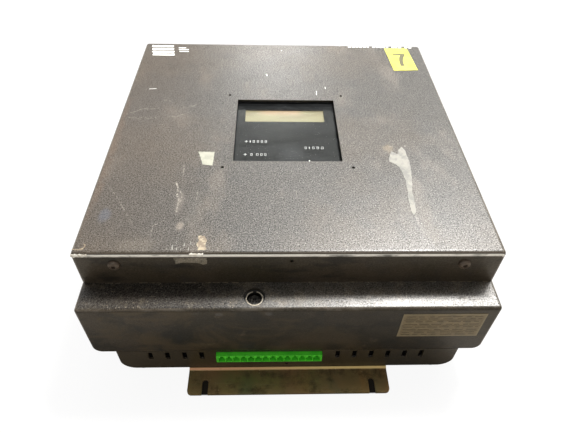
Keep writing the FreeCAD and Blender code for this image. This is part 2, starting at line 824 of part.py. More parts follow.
@part
def socket_core():
    """Disc with eight contact holes and a rectangular key hole."""
    contacts = [(-2.6, 1.2), (2.6, 1.2), (-2.9, -0.7), (2.9, -0.7),
                (-1.0, -1.1), (1.0, -1.1), (-1.6, -2.9), (1.6, -2.9)]  # x, y from centre
    hole_z = 72.5
    disc = fillet(cyl(SOCKET_X, SOCKET_Y, SOCKET_FLOOR_Z, 4.1, 1.5), 0.25, rims_above(73.5))
    holes = [cyl(SOCKET_X + x, SOCKET_Y + y, hole_z, 0.5, 4) for x, y in contacts]
    holes.append(box(SOCKET_X - 1.1, SOCKET_Y + 0.6, hole_z, 2.2, 0.9, 4))
    return cut(disc, *holes)


@part
def socket_lead():
    """Five-core lead from the socket down to the main board."""
    # x and y from the socket's centre, then z
    path = [(0, 1, 62.85), (0, 1.1, 52), (3, 4.5, 38), (6, 8.3, 25), (6, 8.4, BOARD_TOP + 0.2)]
    cores = [(-1.7, 0), (0, 0), (1.7, 0), (-0.85, 1.6), (0.85, 1.6)]  # x, y offsets
    wires = []
    for core_x, core_y in cores:
        points = [V(SOCKET_X + x + core_x, SOCKET_Y + y + core_y, z) for x, y, z in path]
        curve = spline(points)
        start = curve.tangent(curve.FirstParameter)[0]
        ring = Part.Wire(Part.makeCircle(0.5, points[0], start))
        wires.append(Part.Wire(curve.toShape()).makePipeShell([ring], True, True))
    return feature(Part.makeCompound(wires))


@part
def surge_arresters():
    """Five upright discs behind the header, each on two staggered legs."""
    discs = []
    for k in range(5):
        x = DIM["head_x"] - 28 + 14 * k
        discs.append(fuse(
            fillet(cyl(x, -119.5, BOARD_TOP + 9.4, 6.0, 3.4, "y"), 1.0, rims),
            box(x - 2.9, -118.3, BOARD_TOP, 0.8, 0.8, 6),
            box(x + 2.1, -117.5, BOARD_TOP, 0.8, 0.8, 6)))
    return group(discs)


# Heat sink, with the power devices on its right-hand face
SINK_X, SINK_Y = -58.0, -15.0
DEVICE_Y = (-45.0, -27.0, -9.0, 9.0, 27.0, 45.0)  # from the sink's middle
DEVICE_HOLE_Z = 26.0  # above the board


@part
def heat_sink():
    """Extruded comb: upright web on the right, level fins to the left."""
    web, fin_t, fin_pitch, first_fin_z = -6.0, 2.0, 5.8, 6.0
    fin_tip = -DIM["sink_w"]
    outline = [(0, 0), (fin_tip, 0), (fin_tip, fin_t)]
    for k in range(6):
        z = first_fin_z + k * fin_pitch
        outline += [(web, outline[-1][1]), (web, z), (fin_tip, z), (fin_tip, z + fin_t)]
    outline += [(web, outline[-1][1]), (web, DIM["sink_h"]), (0, DIM["sink_h"])]
    body = new_body()
    profile = sketch(body, "XZ_Plane")
    draw_outline(profile, outline)
    add_step(body, "Pad", profile, Length="sink_len", Midplane=True)
    holes = sketch(body, "YZ_Plane")
    for y in DEVICE_Y:
        draw_circle(holes, y, DEVICE_HOLE_Z, 1.5)
    add_step(body, "Pocket", holes, Length=5.0)
    place(body, SINK_X, SINK_Y, BOARD_TOP)
    return body


@part
def power_transistors():
    """Packages with a drilled metal tab and three legs."""
    width = 10.0
    devices = []
    for offset in DEVICE_Y:
        y = SINK_Y + offset
        tab = cut(box(SINK_X, y - width / 2, BOARD_TOP + 13.0, 1.6, width, 15.8),
                  cyl(SINK_X - 1, y, BOARD_TOP + DEVICE_HOLE_Z, 1.7, 4, "x"))
        case = box(SINK_X, y - width / 2, BOARD_TOP + 12.8, 4.4, width, 9.2)
        legs = [box(SINK_X + 2.4, y + leg_y - 0.4, BOARD_TOP, 0.6, 0.8, 13.5)
                for leg_y in (-2.54, 0, 2.54)]
        devices.append(fuse(tab, case, *legs))
    return group(devices)


@part
def transistor_screws():
    z = BOARD_TOP + DEVICE_HOLE_Z
    screws = []
    for offset in DEVICE_Y:
        y = SINK_Y + offset
        head = fillet(cyl(SINK_X + 1.6, y, z, 2.7, 1.9, "x"), 0.9,
                      lambda mid, way: rims(mid, way) and mid.x > SINK_X + 3.4)
        shank = cyl(SINK_X - 4.6, y, z, 1.45, 6.4, "x")
        slot = box(SINK_X + 2.7, y - 1.6, z - 0.3, 2, 3.2, 0.6)
        screws.append(cut(fuse(head, shank), slot))
    return group(screws)


@part
def reservoir_capacitors():
    """Upright cans with a rolled groove near the foot and a scored cross on top."""
    x, score_z = 88, BOARD_TOP + 35.5
    cans = []
    for y in (-96, -72, -48, -24):
        can = fillet(cyl(x, y, BOARD_TOP, "cap_r", "cap_h"), 1.6, rims_above(BOARD_TOP + 30))
        groove = torus(x, y, BOARD_TOP + 4.0, DIM["cap_r"] + 0.25, 0.75)
        cans.append(cut(can, groove, block(x, y, score_z, 10, 0.5, 2),
                        block(x, y, score_z, 0.5, 10, 2)))
    return group(cans)


CHOKE = V(36.0, 44.0, BOARD_TOP + 8.4)
CHOKE_R = 15.0


@part
def choke_core():
    return torus(CHOKE.x, CHOKE.y, CHOKE.z, CHOKE_R, 5.6)


@part
def choke_winding():
    """Separate rings of wire spaced round the core."""
    count = 20
    turns = []
    for k in range(count):
        turn = Part.makeTorus(7.1, 0.85)
        turn.rotate(V(0, 0, 0), V(1, 0, 0), 90)
        turn.translate(V(CHOKE_R, 0, 0))
        turn.rotate(V(0, 0, 0), V(0, 0, 1), 360 * k / count)
        turn.translate(CHOKE)
        turns.append(turn)
    return feature(Part.makeCompound(turns))


@part
def relays():
    return group([fillet(block(34, y, BOARD_TOP + 0.3, 29, 12.8, 20), 0.8,
                         upright_or_above(BOARD_TOP + 20)) for y in (-88, -62, -36)])


# Fuse: cartridge lying along X in two open clips
FUSE_X, FUSE_Y, FUSE_Z = 30.0, 8.0, BOARD_TOP + 8.0
FUSE_HALF = DIM["fuse_len"] / 2
FUSE_CAP_LEN = 6.0
FUSE_BASE_H = 2.0


@part
def fuse_clips():
    bore = 3.25
    clips = []
    for side in SIDES:
        x = FUSE_X + side * (FUSE_HALF - 4.0)
        clips.append(cut(block(x, FUSE_Y, BOARD_TOP + FUSE_BASE_H, 7.0, 8.0, 9.5),
                         cyl(x - 5, FUSE_Y, FUSE_Z, bore, 10, "x"),
                         block(x, FUSE_Y, FUSE_Z, 10, 2 * bore, 12)))
    return group(clips)


@part
def fuse_base():
    return fillet(block(FUSE_X, FUSE_Y, BOARD_TOP, 42, 10, FUSE_BASE_H), 0.5, upright)


@part
def fuse_tube():
    return cyl(FUSE_X - FUSE_HALF + FUSE_CAP_LEN, FUSE_Y, FUSE_Z, 2.9, "fuse_len-12", "x")


@part
def fuse_caps():
    caps = []
    for side, x in ((-1, FUSE_X - FUSE_HALF), (1, FUSE_X + FUSE_HALF - FUSE_CAP_LEN)):
        caps.append(fillet(
            cyl(x, FUSE_Y, FUSE_Z, "fuse_r", FUSE_CAP_LEN, "x"), 0.5,
            lambda mid, way: rims(mid, way) and (mid.x - FUSE_X) * side > FUSE_HALF - 0.1))
    return group(caps)


@part
def microcontroller():
    return feature(chip(-8, -58, BOARD_TOP, length=52.0, width=13.8, pins=40,
                        along="y", body_h=3.9))


@part
def logic_chips():
    spots = [(-30, -92), (-30, -64), (-30, -36), (-30, -8), (-8, -8)]
    return feature(Part.makeCompound(
        [chip(x, y, BOARD_TOP, length=19.3, width=6.4, pins=14, along="y") for x, y in spots]))


@part
def current_shunt():
    """Strip bridging two feet."""
    x, y, length = 52, -118, 8.0
    return fuse(box(x, y, BOARD_TOP, 3.0, length, 7.0),
                box(x + 32, y, BOARD_TOP, 3.0, length, 7.0),
                box(x, y, BOARD_TOP + 6.0, 35, length, 1.2))


TRANSFORMER_X, TRANSFORMER_Y = -20.0, 60.0


@part
def transformer_core():
    """Block with two windows either side of the middle limb."""
    windows = [block(TRANSFORMER_X + side * 10.5, TRANSFORMER_Y, BOARD_TOP + 9.0, 7.0, 22, 21)
               for side in SIDES]
    return cut(block(TRANSFORMER_X, TRANSFORMER_Y, BOARD_TOP, 42, 20, 37), *windows)


@part
def transformer_coil():
    coil = fillet(block(TRANSFORMER_X, TRANSFORMER_Y, BOARD_TOP + 9.2, 27.6, 34, 20.6),
                  3.0, upright)
    return cut(coil, block(TRANSFORMER_X, TRANSFORMER_Y, BOARD_TOP + 7, 14.2, 20.2, 25))


# Ribbon link between display board and main board
RIBBON_X, RIBBON_Y = 7.0, -22.0
RIBBON_PINS = [(RIBBON_X + (k - 2.5) * 2.54, RIBBON_Y + row * 1.27)
               for k in range(6) for row in SIDES]


@part
def ribbon_header():
    """Open-topped shroud with two rows of six pins."""
    floor_z = BOARD_TOP + 1.6
    shroud = cut(block(RIBBON_X, RIBBON_Y, BOARD_TOP, 20.4, 8.8, 9.0),
                 block(RIBBON_X, RIBBON_Y, floor_z, 18.0, 6.4, 9))
    return group([shroud] + [block(x, y, floor_z, 0.64, 0.64, 6.0) for x, y in RIBBON_PINS])


@part
def ribbon_plugs():
    width, length = 17.8, 6.2
    holes = [block(x, y, BOARD_TOP, 0.84, 0.84, 9.0) for x, y in RIBBON_PINS]
    lower = cut(block(RIBBON_X, RIBBON_Y, BOARD_TOP + 1.7, width, length, 11.5), *holes)
    upper = block(RIBBON_X, RIBBON_Y, 75.0, width, length, 8.9)
    return group([lower, upper])


@part
def ribbon_cable():
    """Flat cable bowed to the rear, with a thicker tab at each plug."""
    width, thick = 15.2, V(0, 0.9, 0)
    left = RIBBON_X - width / 2
    # y from the plugs' centre, z
    path = [(3.9, BOARD_TOP + 10.0), (6.5, BOARD_TOP + 16), (12.0, 45), (6.5, 66), (3.9, 76.5)]
    front = [V(left, RIBBON_Y + y, z) for y, z in path]
    rear = [point + thick for point in front]
    edges = [spline(front).toShape(), Part.makeLine(front[-1], rear[-1]),
             spline(rear).toShape(), Part.makeLine(front[0], rear[0])]
    face = Part.Face(Part.Wire(Part.__sortEdges__(edges)))
    lower_tab, upper_tab = [Part.makeBox(width, 1.3, 3.0, V(left, RIBBON_Y + 3.1, z))
                            for z in (BOARD_TOP + 9.5, 74.5)]
    ribbon = face.extrude(V(width, 0, 0)).fuse(lower_tab.fuse(upper_tab))
    return feature(ribbon.removeSplitter())


# ==================================================== applied plates and tags
@part
def rating_label():
    return box(71.2, "-case_len/2-0.2", 45.2, "label_w", 0.2, "label_len")


@part
def lot_tag():
    """Tag stuck slightly askew on the lid."""
    tag = box(0, 0, 0, "tag_w", "tag_len", 0.2)
    tag.Placement = FreeCAD.Placement(V(100.0, 94.7, DIM["lid_top"]),
                                      FreeCAD.Rotation(V(0, 0, 1), 3.5))
    return tag


# ========================================================= build and export
parts = []
for build in BUILDERS:
    built = build()
    built.Label = build.__name__
    parts.append(built)
doc.recompute()
bad = [o.Name for o in doc.Objects if any(k in o.State for k in ("Invalid", "Error"))]
if bad:
    raise SystemExit("objects in error: " + ", ".join(bad))
for built in parts:
    if built.Shape.isNull() or not built.Shape.isValid() or built.Shape.Volume <= 0:
        raise SystemExit("bad shape: " + built.Label)
os.makedirs("parts", exist_ok=True)
for built in parts:
    built.Shape.exportStep("parts/%s.step" % built.Label)
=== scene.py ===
"""A worn, black-enamelled instrument case with a display window in its lid.

The lid faces +Z, the socket, vents and rating label face the front (-Y), and +X is to the
right. Places and sizes are in millimetres unless a comment says otherwise.
"""
import bpy
import bmesh
import math
import random
from functools import cached_property, reduce
from mathutils import Vector, Matrix


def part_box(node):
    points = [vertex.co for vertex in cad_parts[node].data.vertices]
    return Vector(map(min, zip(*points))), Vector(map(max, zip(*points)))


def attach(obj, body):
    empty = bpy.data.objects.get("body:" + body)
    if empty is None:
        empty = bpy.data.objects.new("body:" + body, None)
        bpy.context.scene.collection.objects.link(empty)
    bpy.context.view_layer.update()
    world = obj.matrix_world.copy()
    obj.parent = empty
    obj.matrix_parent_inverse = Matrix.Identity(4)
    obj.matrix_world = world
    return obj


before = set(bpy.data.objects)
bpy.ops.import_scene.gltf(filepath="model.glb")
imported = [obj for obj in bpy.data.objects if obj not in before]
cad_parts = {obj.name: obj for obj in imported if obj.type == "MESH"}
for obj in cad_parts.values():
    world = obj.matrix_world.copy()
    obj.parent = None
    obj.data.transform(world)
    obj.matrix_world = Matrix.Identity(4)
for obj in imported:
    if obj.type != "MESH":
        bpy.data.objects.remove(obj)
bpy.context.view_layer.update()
MM = 0.001


def lin(rgb):
    """8-bit display colour to linear RGBA."""
    out = []
    for c in rgb:
        c = c / 255.0
        out.append(c / 12.92 if c <= 0.04045 else ((c + 0.055) / 1.055) ** 2.4)
    return tuple(out) + (1.0,)


# ------------------------------------------------------------------ node graphs
class Nodes:
    """The emptied node tree of a material or world. Values may be numbers or sockets."""

    def __init__(self, owner):
        owner.use_nodes = True
        self.tree = owner.node_tree
        self.tree.nodes.clear()

    def put(self, socket, value):
        if isinstance(value, bpy.types.NodeSocket):
            self.tree.links.new(value, socket)
        else:
            socket.default_value = value

    def node(self, kind, **inputs):
        """A new node; an underscore in an input's name stands for a space."""
        node = self.tree.nodes.new("ShaderNode" + kind)
        for name, value in inputs.items():
            self.put(node.inputs[name.replace("_", " ")], value)
        return node

    def shader(self, kind, **inputs):
        return self.node(kind, **inputs).outputs[0]

    def mix_shaders(self, factor, first, second):
        node = self.node("MixShader")
        for socket, value in zip(node.inputs, (factor, first, second)):
            self.put(socket, value)
        return node.outputs[0]

    def math(self, operation, a, b=0.0, clamp=False):
        node = self.node("Math")
        node.operation = operation
        node.use_clamp = clamp
        self.put(node.inputs[0], a)
        self.put(node.inputs[1], b)
        return node.outputs[0]

    def mul(self, *factors):
        return reduce(lambda a, b: self.math("MULTIPLY", a, b), factors)

    def add(self, *terms, clamp=False):
        return reduce(lambda a, b: self.math("ADD", a, b, clamp), terms)

    def largest(self, *values):
        return reduce(lambda a, b: self.math("MAXIMUM", a, b), values)

    def separate(self, vector):
        return self.node("SeparateXYZ", Vector=vector).outputs

    def line(self, value, lo, hi, a=0.0, b=1.0, curve="LINEAR"):
        """a where value is lo, b where it is hi, held level outside them."""
        node = self.node("MapRange", Value=value, From_Min=lo, From_Max=hi, To_Min=a, To_Max=b)
        node.interpolation_type = curve
        return node.outputs[0]

    def ramp(self, value, lo, hi):
        """A smooth mask, 0 where value is lo and 1 where it is hi; lo may be the larger."""
        return self.line(value, lo, hi, curve="SMOOTHSTEP")

    def blend(self, mask, off, on):
        """The number off where mask is 0, on where it is 1."""
        return self.line(mask, 0, 1, off, on)

    def band(self, value, lo, hi, soft, curve="SMOOTHSTEP"):
        """1 where value lies between lo and hi."""
        return self.mul(self.line(value, lo - soft, lo + soft, curve=curve),
                        self.line(value, hi + soft, hi - soft, curve=curve))


class Graph(Nodes):
    """A procedural material whose colour is laid on in tints.

    Textures run in the part's own frame, so scales are per millimetre. Colours given as
    tuples are 8-bit display values.
    """

    def __init__(self, name, color=None):
        self.material = bpy.data.materials.new(name)
        super().__init__(self.material)
        self.color = color

    def finish(self, **inputs):
        bsdf = self.shader("BsdfPrincipled", Base_Color=self.color, **inputs)
        self.node("OutputMaterial", Surface=bsdf)
        return self.material

    # coordinates -------------------------------------------------------
    @cached_property
    def coordinates(self):
        return self.node("TexCoord").outputs

    @cached_property
    def position(self):
        return self.vector("SCALE", self.coordinates["Object"], 1 / MM, slot="Scale")

    @cached_property
    def xyz(self):
        return self.separate(self.position)

    @cached_property
    def normal(self):
        return self.separate(self.coordinates["Normal"])

    @cached_property
    def up(self):
        """1 on faces that look up."""
        return self.ramp(self.normal[2], 0.80, 0.97)

    def vector(self, operation, a, b, slot=1):
        node = self.node("VectorMath")
        node.operation = operation
        self.put(node.inputs[0], a)
        self.put(node.inputs[slot], b)
        return node.outputs[0]

    def placed(self, stretch, offset):
        place = self.position
        if stretch is not None:
            place = self.vector("MULTIPLY", place, stretch)
        if any(offset):
            place = self.vector("ADD", place, offset)
        return place

    # textures ----------------------------------------------------------
    def noise(self, scale, detail=4, rough=0.6, stretch=None, offset=(0, 0, 0), distort=0.0):
        return self.node("TexNoise", Vector=self.placed(stretch, offset), Scale=scale,
                         Detail=detail, Roughness=rough, Distortion=distort).outputs[0]

    def cells(self, scale, randomness=1.0, offset=(0, 0, 0), stretch=None):
        """Distance to the nearest of a scatter of points."""
        return self.node("TexVoronoi", Vector=self.placed(stretch, offset), Scale=scale,
                         Randomness=randomness).outputs["Distance"]

    def wave(self, scale, direction="X", distort=0.0):
        node = self.node("TexWave", Vector=self.position, Scale=scale, Distortion=distort)
        node.bands_direction = direction
        return node.outputs[1]

    def swing(self, noise, size):
        """Noise centred on zero, times size."""
        return self.mul(self.add(noise, -0.5), size)

    def fold(self, value, pitch):
        """0 in the middle of each pitch, 0.5 at its ends."""
        return self.math("ABSOLUTE", self.add(self.math("FRACT", self.mul(value, 1 / pitch)), -0.5))

    def stroke(self, start, end, width, soft=0.3):
        """1 along the straight line start-end in plan, to width each side."""
        x, y = self.xyz[0], self.xyz[1]
        dx, dy = end[0] - start[0], end[1] - start[1]
        length = math.hypot(dx, dy)
        ux, uy = dx / length, dy / length

        def along(a, b):
            return self.add(self.mul(self.add(x, -start[0]), a), self.mul(self.add(y, -start[1]), b))
        run = along(ux, uy)
        across = self.math("ABSOLUTE", along(-uy, ux))
        return self.mul(self.ramp(across, width + soft, max(width - soft, 0.0)),
                        self.band(run, 0, length, 1.2))

    # colour and relief -------------------------------------------------
    def mix(self, factor, a, b):
        node = self.node("Mix")
        node.data_type = "RGBA"
        self.put(node.inputs[0], factor)
        for slot, value in ((6, a), (7, b)):
            self.put(node.inputs[slot], lin(value) if isinstance(value, tuple) else value)
        return node.outputs[2]

    def tint(self, mask, color, by=None):
        """Lay color over what is there where mask is 1, at the strength by."""
        if by is not None:
            mask = self.mul(mask, by)
        self.color = self.mix(mask, self.color, color)

    def bump(self, height, strength, depth, after=None):
        node = self.node("Bump", Strength=strength, Distance=depth * MM, Height=height)
        if after is not None:
            self.put(node.inputs["Normal"], after)
        return node.outputs[0]

    def round_edges(self, radius):
        node = self.node("Bevel", Radius=radius * MM)
        node.samples = 4
        return node.outputs[0]


# ------------------------------------------------------------------ enamelled sheet
class Enamel(Graph):
    """Stove-enamelled, textured black steel sheet; walls is the colour of its upright faces."""

    def __init__(self, name, walls):
        super().__init__(name)
        self.mid = self.noise(0.07, offset=(37, 5, 11))
        self.small = self.noise(0.32, detail=3, offset=(3, 19, 7))
        self.grain = self.noise(0.85, detail=2, rough=0.55)
        # rounded corners, where the normal lies off the axes
        sizes = [self.math("ABSOLUTE", n) for n in self.normal[:3]]
        self.bends = self.ramp(self.largest(*sizes), 0.985, 0.90)
        self.color = self.mix(self.up, walls, (58, 55, 51))
        # warm and cool drift over the sheet
        big = self.noise(0.011, detail=3, rough=0.55)
        self.tint(self.ramp(big, 0.40, 0.62), (72, 62, 50), by=0.55)
        self.tint(self.ramp(self.mid, 0.50, 0.72), (38, 37, 36), by=0.40)
        self.rough = self.add(self.line(self.mid, 0.3, 0.7, 0.30, 0.37),
                              self.swing(self.grain, 0.16))
        self.add_texture()
        self.add_dust()
        self.add_scratches()

    def add_texture(self):
        """Pale crests and specks, partly worn grain tops and partly painted glints, and pits
        darkened with painted shade.
        """
        up = self.up
        fine = self.noise(1.32, detail=1, rough=0.5, offset=(13, 57, 3))
        pit = self.largest(self.ramp(fine, 0.48, 0.35),
                           self.mul(self.ramp(self.grain, 0.42, 0.33), 0.45))
        self.pit = self.mul(pit, self.blend(up, 0.25, 1.0))
        # pale crests and specks: worn grain tops, lightened further as painted glints
        crest = self.ramp(self.grain, 0.52, 0.70)
        self.tint(crest, (128, 123, 114), by=self.blend(up, 0.08, 0.24))
        self.tint(self.ramp(fine, 0.58, 0.70), (160, 158, 152), by=self.blend(up, 0.04, 0.30))
        # painted shade in the pits
        self.tint(self.pit, (15, 15, 15), by=0.80)

    def add_dust(self):
        """Settled dust: fine pale specks in two sizes, each in its own patches."""
        coarse = self.mul(
            self.ramp(self.cells(0.30, offset=(4, 4, 4)), 0.20, 0.10),
            self.ramp(self.noise(0.09, detail=2, rough=0.5, offset=(71, 0, 0)), 0.50, 0.66))
        fine = self.mul(
            self.ramp(self.cells(0.62, offset=(14, 40, 4)), 0.22, 0.10),
            self.ramp(self.noise(0.05, detail=2, rough=0.5, offset=(0, 33, 0)), 0.54, 0.70))
        self.tint(self.add(coarse, fine, clamp=True), (150, 144, 132),
                  by=self.blend(self.up, 0.12, 0.22))

    def add_scratches(self):
        """Fine, long handling scratches, along X and then along Y."""
        # stretch, offset, threshold, offset of the patches they lie in
        for stretch, offset, level, patch in (((0.03, 1.3, 0.03), (5, 8, 1), 0.735, (3, 9, 2)),
                                              ((0.9, 0.035, 0.9), (51, 3, 9), 0.745, (43, 9, 2))):
            scratch = self.noise(1.0, detail=2, stretch=stretch, offset=offset, distort=0.25)
            zone = self.ramp(self.noise(0.022, detail=2, rough=0.5, offset=patch), 0.50, 0.62)
            self.tint(self.mul(self.ramp(scratch, level - 0.03, level + 0.03), zone),
                      (150, 143, 132), by=0.55)

    def stove(self, wall_gloss=0.86, sheens=()):
        """Finish the material; wall_gloss and sheens scale its specular level."""
        grit = self.noise(1.9, detail=1, rough=0.5, offset=(9, 2, 31))
        height = self.add(self.mul(self.grain, 1.0), self.mul(grit, 0.35), self.mul(self.small, 0.6))
        gloss = self.mul(self.blend(self.pit, 0.56, 0.20), self.blend(self.up, wall_gloss, 1.0),
                         *sheens)
        return self.finish(Roughness=self.add(self.rough, self.mul(self.pit, 0.18)),
                           Specular_IOR_Level=gloss,
                           Normal=self.bump(height, strength=0.17, depth=0.35))


# scratches and rubbed streaks on the lid: points (x, y), half width, strength
LID_MARKS = (
    (((-123.3, -61.9), (-116.1, -71.6), (-112.3, -78.4), (-106.4, -87.5), (-102.8, -93.1),
      (-98.7, -100.8)), 0.22, 0.17),
    (((-120.4, -65.5), (-115.2, -73.3), (-111.3, -79.3), (-105.0, -89.1)), 0.20, 0.12),
    (((-77.9, -58.6), (-75.9, -64.5), (-75.6, -71.5), (-73.6, -75.8), (-74.1, -82.6),
      (-73.9, -86.7)), 0.60, 0.44),
    (((-74.4, -66.0), (-72.2, -72.0), (-72.6, -78.0)), 0.40, 0.30),
    (((-74.7, -40.0), (-73.9, -51.6)), 0.6, 0.22),
    (((-62.4, -67.1), (-62.3, -75.8)), 0.3, 0.26),
    (((-80.8, -94.7), (-87.3, -99.3), (-87.4, -105.4), (-85.3, -111.3)), 0.4, 0.20),
    (((-127.9, 22.9), (-121.2, 26.8), (-116.9, 30.6), (-110.0, 30.2), (-102.7, 32.1)), 0.40, 0.30),
    (((-128.3, 19.8), (-123.0, 17.4), (-120.4, 18.7), (-118.0, 16.0), (-114.4, 19.6),
      (-110.0, 16.9), (-101.9, 19.2)), 0.35, 0.24),
    (((-95.8, 18.0), (-92.7, 20.8), (-88.4, 18.8), (-84.4, 22.8), (-79.4, 21.9)), 0.40, 0.26),
    (((-101.5, 43.2), (-97.0, 42.6), (-93.3, 39.4)), 0.45, 0.20),
    (((-86.1, 31.7), (-82.8, 34.3), (-80.4, 32.4), (-78.6, 35.7), (-77.0, 34.4), (-73.7, 37.7)),
     0.35, 0.30),
    (((82.4, -90.0), (82.7, -98.2), (84.0, -104.0)), 0.6, 0.10))

# soft oval stains on the lid: centre x, y, half sizes in x, y, strength, colour
LID_STAINS = (
    (-96.0, -116.0, 16.0, 7.0, 0.10, (158, 148, 132)),
    (-70.3, -99.4, 3.2, 4.6, 0.26, (176, 164, 150)),
    (-73.0, -78.0, 4.0, 12.0, 0.16, (150, 140, 130)),
    (-63.0, -86.0, 7.0, 22.0, 0.12, (96, 96, 92)),
    (75.8, -19.8, 5.4, 6.4, 0.30, (140, 124, 98)),
    (85.5, -97.0, 5.0, 6.5, 0.14, (104, 92, 88)),
    (-131.0, -20.0, 6.0, 110.0, 0.20, (112, 84, 60)),
    (-119.4, -89.9, 5.4, 7.4, 0.42, (82, 92, 108)))


def add_lid_marks(g):
    broken = g.mul(g.ramp(g.small, 0.34, 0.56), g.ramp(g.grain, 0.36, 0.54))
    for points, width, strength in LID_MARKS:
        mark = g.largest(*[g.stroke(a, b, width) for a, b in zip(points[:-1], points[1:])])
        g.tint(g.mul(mark, g.up, broken), (206, 199, 186), by=strength)


def add_lid_stains(g):
    x, y, z = g.xyz
    for cx, cy, half_x, half_y, strength, color in LID_STAINS:
        ex = g.mul(g.add(x, -cx), 1.0 / half_x)
        ey = g.mul(g.add(y, -cy), 1.0 / half_y)
        reach = g.add(g.math("SQRT", g.add(g.mul(ex, ex), g.mul(ey, ey))), g.swing(g.mid, 1.5))
        g.tint(g.mul(g.ramp(reach, 1.0, 0.35), g.up), color, by=strength)
    smear_noise = g.noise(0.035, detail=3, stretch=(1, 0.5, 1), offset=(8, 2, 0))
    smear = g.mul(g.ramp(smear_noise, 0.55, 0.72), g.up)
    g.tint(smear, (120, 108, 94), by=0.18)
    g.rough = g.add(g.rough, g.mul(smear, 0.10))
    # small dark chips
    chip = g.add(g.cells(0.028, offset=(3, 8, 0)), g.mul(g.small, 0.05))
    g.tint(g.mul(g.ramp(chip, 0.065, 0.045), g.up), (16, 14, 12), by=0.7)


def add_lid_front_bend(g):
    """A dull dark roll, then paint rubbed to the metal on the lower arris."""
    x, y, z = g.xyz
    forward = g.mul(g.normal[1], -1.0)
    bend = g.mul(g.ramp(y, -119.0, -119.6), g.ramp(z, 102.4, 103.0))
    roll = g.mul(g.ramp(forward, 0.34, 0.50), g.ramp(forward, 0.80, 0.72), bend)
    patchy = g.ramp(g.noise(0.16, detail=3, offset=(0, 4, 4)), 0.26, 0.46)
    rub = g.mul(g.ramp(forward, 0.77, 0.84), g.ramp(forward, 0.9985, 0.985), bend,
                g.add(patchy, 0.62, clamp=True))
    g.tint(roll, (60, 52, 42), by=0.45)
    g.tint(rub, (246, 242, 232))
    g.rough = g.add(g.rough, g.mul(roll, 0.15))


def lid_paint():
    g = Enamel("lid_paint", walls=(45, 39, 25))
    x, y, z = g.xyz
    add_lid_marks(g)
    add_lid_stains(g)
    add_lid_front_bend(g)
    # the other bends, worn pale
    g.tint(g.mul(g.bends, g.ramp(y, -119.6, -119.0), g.ramp(g.mid, 0.42, 0.62)),
           (118, 110, 98), by=0.36)
    # dark smears on the front flange
    smear = g.noise(0.045, rough=0.65, stretch=(0.6, 1, 1.8), offset=(90, 0, 3))
    g.tint(g.mul(g.ramp(smear, 0.52, 0.66), g.ramp(y, -121.6, -122.3)), (18, 17, 14), by=0.75)
    # browner towards the left
    g.tint(g.mul(g.ramp(x, -30.0, -125.0), g.up), (60, 47, 33), by=0.34)
    back_left = g.mul(g.ramp(x, -20.0, -110.0), g.ramp(y, 0.0, 110.0))
    return g.stove(sheens=[g.blend(back_left, 1.0, 0.64)])


def add_shelf_shade_and_dust(g):
    """The level shelf: painted shade darkens it on the left and painted light pales it on the right,
    with drifts of dust specks and a pale film.
    """
    x, y, z = g.xyz
    shelf = g.mul(g.up, g.ramp(z, 76.0, 77.0))
    # painted shade on the shelf's left, painted light on its right
    left = g.ramp(x, 10.0, -60.0)
    g.tint(shelf, g.mix(left, (80, 77, 71), (11, 9, 7)), by=g.blend(left, 0.30, 0.55))
    fine = g.ramp(g.cells(0.55, offset=(3, 2, 9)), 0.28, 0.12)
    coarse = g.ramp(g.cells(0.34, offset=(33, 2, 9)), 0.16, 0.07)
    drift = g.add(g.ramp(g.noise(0.05, detail=3, offset=(12, 6, 2)), 0.48, 0.64), 0.15, clamp=True)
    g.tint(g.mul(g.largest(fine, coarse), g.mul(drift, shelf)), (170, 158, 138), by=0.38)
    film = g.ramp(g.noise(0.09, rough=0.65, offset=(1, 6, 2)), 0.50, 0.70)
    g.tint(g.mul(film, shelf), (150, 136, 112), by=0.15)


def add_shell_front_wear(g):
    x, y, z = g.xyz
    front = g.ramp(y, -143.2, -143.4)
    stain = g.noise(0.035, detail=5, rough=0.70, stretch=(1, 1, 1.6), offset=(31, 0, 8), distort=0.8)
    g.tint(g.mul(g.ramp(stain, 0.47, 0.62), front), (20, 19, 15), by=0.75)
    g.tint(g.mul(g.ramp(x, -60.0, 80.0), front), (16, 15, 11), by=0.40)
    warm = g.noise(0.025, rough=0.7, stretch=(1, 1, 1.4), offset=(3, 0, 71), distort=0.6)
    g.tint(g.mul(g.ramp(warm, 0.46, 0.62), front), (74, 62, 42),
           by=g.line(x, -120.0, 60.0, 0.75, 0.25))
    cool = g.noise(0.06, rough=0.65, offset=(19, 0, 31))
    g.tint(g.mul(g.ramp(cool, 0.56, 0.70), front), (30, 34, 34), by=0.5)
    scuff = g.noise(0.12, rough=0.7, stretch=(0.7, 1, 0.7), offset=(3, 0, 44))
    scuffed = g.noise(0.02, detail=2, rough=0.5, offset=(61, 0, 8))
    g.tint(g.mul(g.ramp(scuff, 0.60, 0.70), g.mul(g.ramp(scuffed, 0.46, 0.60), front)),
           (104, 92, 72), by=0.35)
    # pale blots in a strip under the bend, left of the middle
    blot = g.add(g.cells(0.085, offset=(0, 3, 0), stretch=(1, 1, 1.15)), g.mul(g.small, 0.25))
    strip = g.mul(g.band(z, 70.5, 74.5, soft=1.0), g.band(x, -60, 4, soft=8))
    g.tint(g.mul(g.ramp(blot, 0.42, 0.30), g.mul(strip, front)), (120, 122, 124), by=0.20)


def shell_paint():
    g = Enamel("shell_paint", walls=(35, 30, 17))
    x, y, z = g.xyz
    add_shelf_shade_and_dust(g)
    g.tint(g.mul(g.bends, g.ramp(g.mid, 0.45, 0.62)), (112, 104, 92), by=0.30)
    add_shell_front_wear(g)
    left = g.mul(g.ramp(x, 10.0, -70.0), g.up)
    front_right = g.mul(g.ramp(x, 20.0, 80.0), g.mul(g.up, g.ramp(y, -133.0, -136.0)))
    return g.stove(wall_gloss=0.70, sheens=[g.blend(left, 1.0, 0.70),
                                            g.blend(front_right, 1.0, 1.35)])


